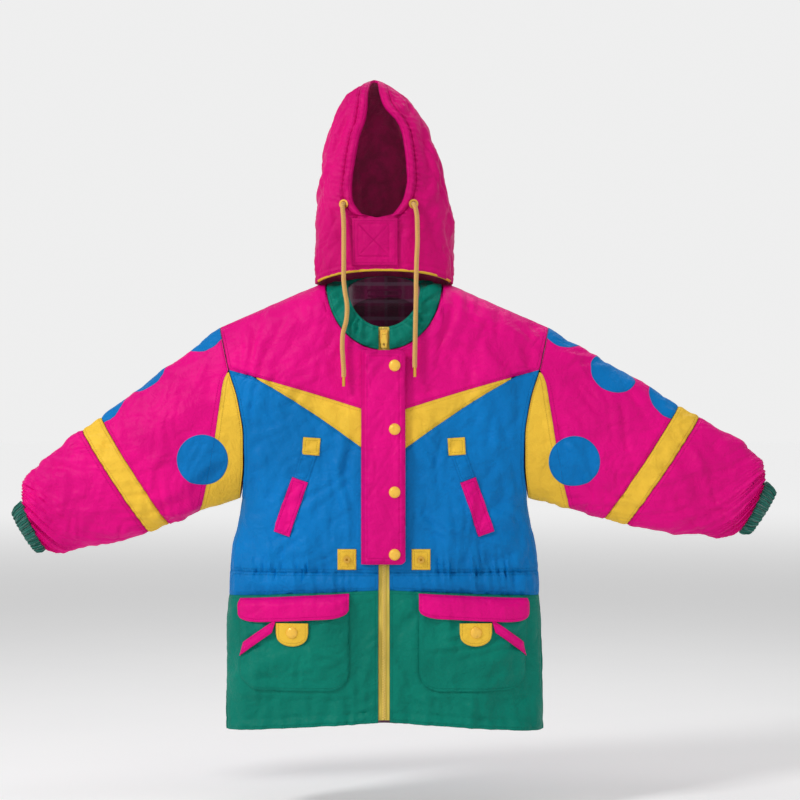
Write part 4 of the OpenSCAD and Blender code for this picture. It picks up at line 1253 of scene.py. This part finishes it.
lift = lift - 0.9 * np.exp(-((stitch / 1.3) ** 2)) - 1.2 * np.exp(-edge / 1.3)
tag = np.minimum(4.2 + stitch, np.where(edge < 8, edge, 99))
obj = shell("chinFlap", base + n * lift[..., None], base + n * 1.1, [clothHood], tags={"seam": tag})
finishPiece(obj, "chin_flap", "magenta_shell", "chin_flap")
print("hood made")

# collar and linings
collar = {
    # half widths of its inner and outer edges, puff, gathers and their pitch, and wall, in mm
    "innerHalf": 54.0, "outerHalf": 87.0, "puff": 4.2, "gather": 5.4, "pitch": 19, "wall": 3.2,
}


def collarEdge(a, inner, d):
    # The collar's inner or outer edge round the neck, d below the outside. a runs from the left front
    # over the back to the right front. In front it lies on the body's surface: x is the half width times
    # the cosine, and z falls with the sine. Behind it is a half ellipse.
    s, c = np.sin(a), np.cos(a)
    front = s < 0
    x = (collar["innerHalf"] if inner else collar["outerHalf"]) * c
    fx = np.where(np.abs(x) < 8.2, np.where(x < 0, -8.2, 8.2), x)
    down = np.clip(-s, 0, None)
    fz = -66 * down ** 0.9 if inner else collarZ(neck["half"] * c) + 0.6
    ahead = skin(fx / body["shoulderHalf"], fz, d - 2 if inner else d, -1)
    up = np.clip(s, 0, None)
    y = (34 if inner else 37) * up ** 0.7 + 0.4 - d * up
    z = (15 * up if inner else -12.8 * up) - d * c * c
    behind = np.stack([x * (1 - d / neck["half"]), y, z], -1)
    return np.where(front[..., None], ahead, behind)


def area(grid):
    # half the cross product of each cell's diagonals, in square metres
    p = grid[1:, 1:] - grid[:-1, :-1]
    q = grid[1:, :-1] - grid[:-1, 1:]
    return float(np.linalg.norm(np.cross(p, q), axis=-1).sum() / 2e6)


a = np.radians(np.linspace(-84.6, 264.6, 190))[None, :]
t = np.linspace(0, 1, 26)[:, None]
outside, inside = collarEdge(a, False, 0.0), collarEdge(a, True, 0.0)
base = outside * (1 - t[..., None]) + inside * t[..., None]
n = facing(base, np.array([0, 0, 1]))
arc = a * 74
swell = np.sin(math.pi * t)
ridge = gathers(arc + 14 * t, 801, collar["pitch"]) - 0.5
lift = collar["puff"] * swell ** 0.7 + collar["gather"] * ridge * (0.35 + 0.65 * swell)
lift = lift + 0.8 * crumple(arc * 1.5, t * 46, 811, 60) * swell ** 0.5 + 0.9 * (gathers(arc, 821, 8) - 0.5)
lift = lift * np.clip((arc - arc.min()) / 14, 0, 1) * np.clip((arc.max() - arc) / 14, 0, 1)
outer = base + n * lift[..., None]
inner = outer - n * collar["wall"]
wide = np.linalg.norm(outside - inside, axis=-1)
seam = np.minimum(t, 1 - t) * wide
obj = shell("collarShell", outer, inner, [clothGreen, liningCloth], tags={"seam": seam})
finishPiece(obj, "torso", "green_shell", "collar", fill=0.4)

# fleece inside the collar: from the outer edge to the inner one, then down inside the neck
low, high = collarEdge(a, True, 5.2), collarEdge(a, False, 5.2)
edges = (high * 0.96 + low * 0.04, high * 0.4 + low * 0.6, low, low - [0, 0, 16], low - [0, 0, 32])
keys = np.array([edge[0] for edge in edges])
k = np.linspace(0, 4, 22)
i = np.clip(np.floor(k).astype(int), 0, 3)
f = (k - i)[:, None, None]
base = keys[i] * (1 - f) + keys[i + 1] * f
n = facing(base, (base.mean((0, 1)) - base) * np.array([1, 1, 0]))
pile = 0.5 * latticeNoise(arc / 9, k[:, None] * 2.2, 831) + 0.7 * latticeNoise(arc / 24, k[:, None], 833)
grid = base + n * (pile + 0.9)[..., None]
obj = shell("collarFleece", grid, base + 0 * n, [liningCloth], tags={"seam": 20 + 0 * pile})
finishPiece(obj, "torso", "magenta_lining", "collar_lining")
size = area(grid)


def lining(name, side, s0, s1, top, bottom, *nodes):
    # loose cloth inside the shell: the shell's own surface and relief, a few millimetres in
    count = int(abs(s1 - s0) * 240 / 5)
    s = np.linspace(s0, s1, count)[None, :] * np.ones((120, 1))
    z = top(s) + (bottom - top(s)) * down(120)
    base = skin(s, z, 0, side)
    n = facing(base, np.array([0, side, 0]))
    r = bodyRelief(s, z, side) - 5.6
    outer, inner = base + n * r[..., None], base + n * (r - 0.9)[..., None]
    x = s * halfWidth(z)
    sides = [np.abs(x - edge * halfWidth(z)) for edge in (s0, s1)]
    seam = seamDistance(sides[0], sides[1], np.abs(z - top(s)), np.abs(z - bottom))
    obj = shell(name, inner, outer, [liningCloth], tags={"seam": seam})
    finishPiece(obj, "torso", "magenta_lining", *nodes)
    wide = abs(s1 - s0) * 0.245
    size = (round(wide, 3), round(area(outer) / wide, 4))
    print(name, "flat", *size)


lining("liningRight", -1, -0.045, -0.985, lambda s: neckTop(s) - 3, -645, "front_linings")
lining("liningLeft", -1, 0.045, 0.985, lambda s: neckTop(s) - 3, -645, "front_linings")
lining("liningBack", 1, -0.985, 0.985, lambda s: backNeck(s) - 3, -650, "back_lining")
print("collar and linings made")

# cords and piping
cords = {
    "radius": 3.5, "sides": 14,
    "right": [
        (-60, -53.8, 118), (-61.2, -57.5, 117.6), (-62, -60.5, 114.5), (-61.6, -62.5, 108),
        (-60.5, -63.5, 96), (-60, -64, 77), (-60, -65, 58), (-60, -66, 38), (-60, -67, 19), (-60, -68.5, 3),
        (-58, -70, -14), (-55, -71, -34), (-56, -71, -56), (-61, -71, -76), (-62, -71, -96),
        (-61, -71, -115), (-60, -71, -130), (-60, -71, -141),
    ],
    "left": [
        (44, -57.2, 118), (44.6, -60.8, 117.6), (46, -63, 114.5), (48, -64, 108), (49.5, -64.5, 96),
        (50, -65, 77), (50, -65.5, 58), (49, -66, 38), (48.5, -67, 19), (48, -68.5, 3), (48, -70, -14),
        (47.5, -71, -36), (47, -71, -64), (46.5, -71, -90), (46, -71, -112), (46, -71, -120), (46, -71, -127),
    ],
}


def smoothLine(points, spacing):
    # cubic through the points, then evenly spaced
    p = np.array(points, float)
    slope = np.gradient(p, axis=0)
    k = np.linspace(0, len(p) - 1, len(p) * 24)
    line = cubic(p, slope, k)
    run = np.r_[0, np.cumsum(np.linalg.norm(np.diff(line, axis=0), axis=1))]
    at = np.linspace(0, run[-1], int(run[-1] / spacing))
    return np.stack([np.interp(at, run, line[:, j]) for j in range(3)], -1), run[-1]


def tube(name, line, radius, sides, material, guide):
    # circles square to the line: middle plus the radius times cosine and sine; strips close both ends
    t = np.gradient(line, axis=0)
    t /= np.linalg.norm(t, axis=1, keepdims=True)
    one = np.cross(t, guide)
    one /= np.linalg.norm(one, axis=1, keepdims=True)
    two = np.cross(t, one)
    a = np.linspace(0, 2 * math.pi, sides, endpoint=False)
    ring = np.cos(a)[None, :, None] * one[:, None] + np.sin(a)[None, :, None] * two[:, None]
    grid = line[:, None] + ring * radius
    wall = gridFaces(len(line), sides, True, 0, True)
    k = np.arange(sides // 2 - 1)
    cap = np.stack([k, k + 1, sides - 2 - k, sides - 1 - k], -1)
    last = (len(line) - 1) * sides
    quads = np.concatenate([wall, cap, last + cap[:, ::-1]])
    centers = grid.reshape(-1, 3)[wall[0]]
    normal = np.cross(centers[2] - centers[0], centers[3] - centers[1])
    if float(normal @ (centers.mean(0) - line[0])) < 0:
        quads = quads[:, ::-1]
    u = np.tile(a * radius, len(line))
    v = np.repeat(np.r_[0, np.cumsum(np.linalg.norm(np.diff(line, axis=0), axis=1))], sides)
    uv = np.stack([u, v], -1)
    return makeMesh(name, grid.reshape(-1, 3), quads, uv, [material], np.zeros(len(quads)), {}, 50)


def braid(name, dye):
    # braided cord: two sets of strands that cross on the slant, with painted shade in the gaps between them
    f = Finish(name)
    u, v, _ = f.split(f.uv)
    left = ((u * (7 / 0.022) + v * (1 / 0.0026)) * (2 * math.pi)).sin()
    right = ((u * (7 / 0.022) - v * (1 / 0.0026)) * (2 * math.pi)).sin()
    strands = left.math("MAXIMUM", right)
    grime = f.noise(35, 3, 0.6)
    # painted shade: the colour follows the strands' height, darker in the gaps between strands and a little paler
    # on their tops
    base = f.mix(strands.rise(-0.4, 0.8), shade(dye, 0.62), shade(dye, 1.06))
    base = f.mix(grime.rise(0.45, 0.75) * 0.3, base, shade(dye, 0.8))
    normal = f.relief(strands, 0.7, 0.0012)
    rough = grime * 0.2 + 0.58
    return f.finish(base=base, rough=rough, normal=normal, sheen=0.35, sheenRough=0.5, specular=0.25)


cordCloth = braid("cordBraid", linear((252, 190, 96)))
pipingCloth = taffeta("pipingYellow", dyes["yellow"])
for low in ("right", "left"):
    line, length = smoothLine(cords[low], 1.6)
    guide = np.array([1.0, 0, 0])
    obj = tube(f"cord{low.capitalize()}", line, cords["radius"], cords["sides"], cordCloth, guide)
    finishPiece(obj, "torso", "yellow_cord", f"cord_{low}")
a = np.radians(np.linspace(-72, 72, 120))
line = hoodPoint(a, throatLow(a) + 0.7, 2.0)
obj = tube("hoodPiping", line, 2.0, 12, pipingCloth, np.array([0, 0, 1.0]))
finishPiece(obj, "torso", "yellow_tape", "hood_piping")

# hard fittings and the floor
brass = metalFinish("brass", linear((226, 176, 78)), 0.34)
enamel = metalFinish("snapEnamel", linear((248, 192, 60)), 0.3, metal=0.15, coat=0.35)
pullPlastic = metalFinish("pullPlastic", linear((236, 190, 60)), 0.4, metal=0.0, coat=0.2)
fittings = {
    brass: ["snap_studs", "waist_eyelets", "cord_eyelets", "cord_tips"],
    enamel: ["placket_caps", "flap_cap_right", "flap_cap_left", "zip_slider"],
    pullPlastic: ["zip_pull"],
}
for material, names in fittings.items():
    for node in names:
        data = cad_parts[node].data
        if len(data.materials):
            data.materials[0] = material
        else:
            data.materials.append(material)

f = Finish("floorPaper")
grain = f.noise(3, 3, 0.6)
x, y, z = f.split()
far = ((x * x + y * y) ** 0.5).rise(1.6, 10.0) * 0.42  # glows a little far out, to meet the pale surroundings
base = f.mix(grain, (0.965, 0.965, 0.97), (0.99, 0.99, 0.99))
glow = f.mix(far, (0, 0, 0), (1, 1, 1))
paper = f.finish(glow=glow, glowPower=1.0, base=base, rough=grain * 0.1 + 0.85, specular=0.0)
corners = np.array([[-1, -1, 0], [1, -1, 0], [1, 1, 0], [-1, 1, 0]])
points = corners * 30000.0 + np.array([0, 0, view["floorZ"] * 1000])
makeMesh("floor", points, np.array([[0, 1, 2, 3]]), points[:, :2], [paper], np.zeros(1), {})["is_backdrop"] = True

sizes = {"cad": [list(v) for v in cadBox], "now": [list(v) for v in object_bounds()]}
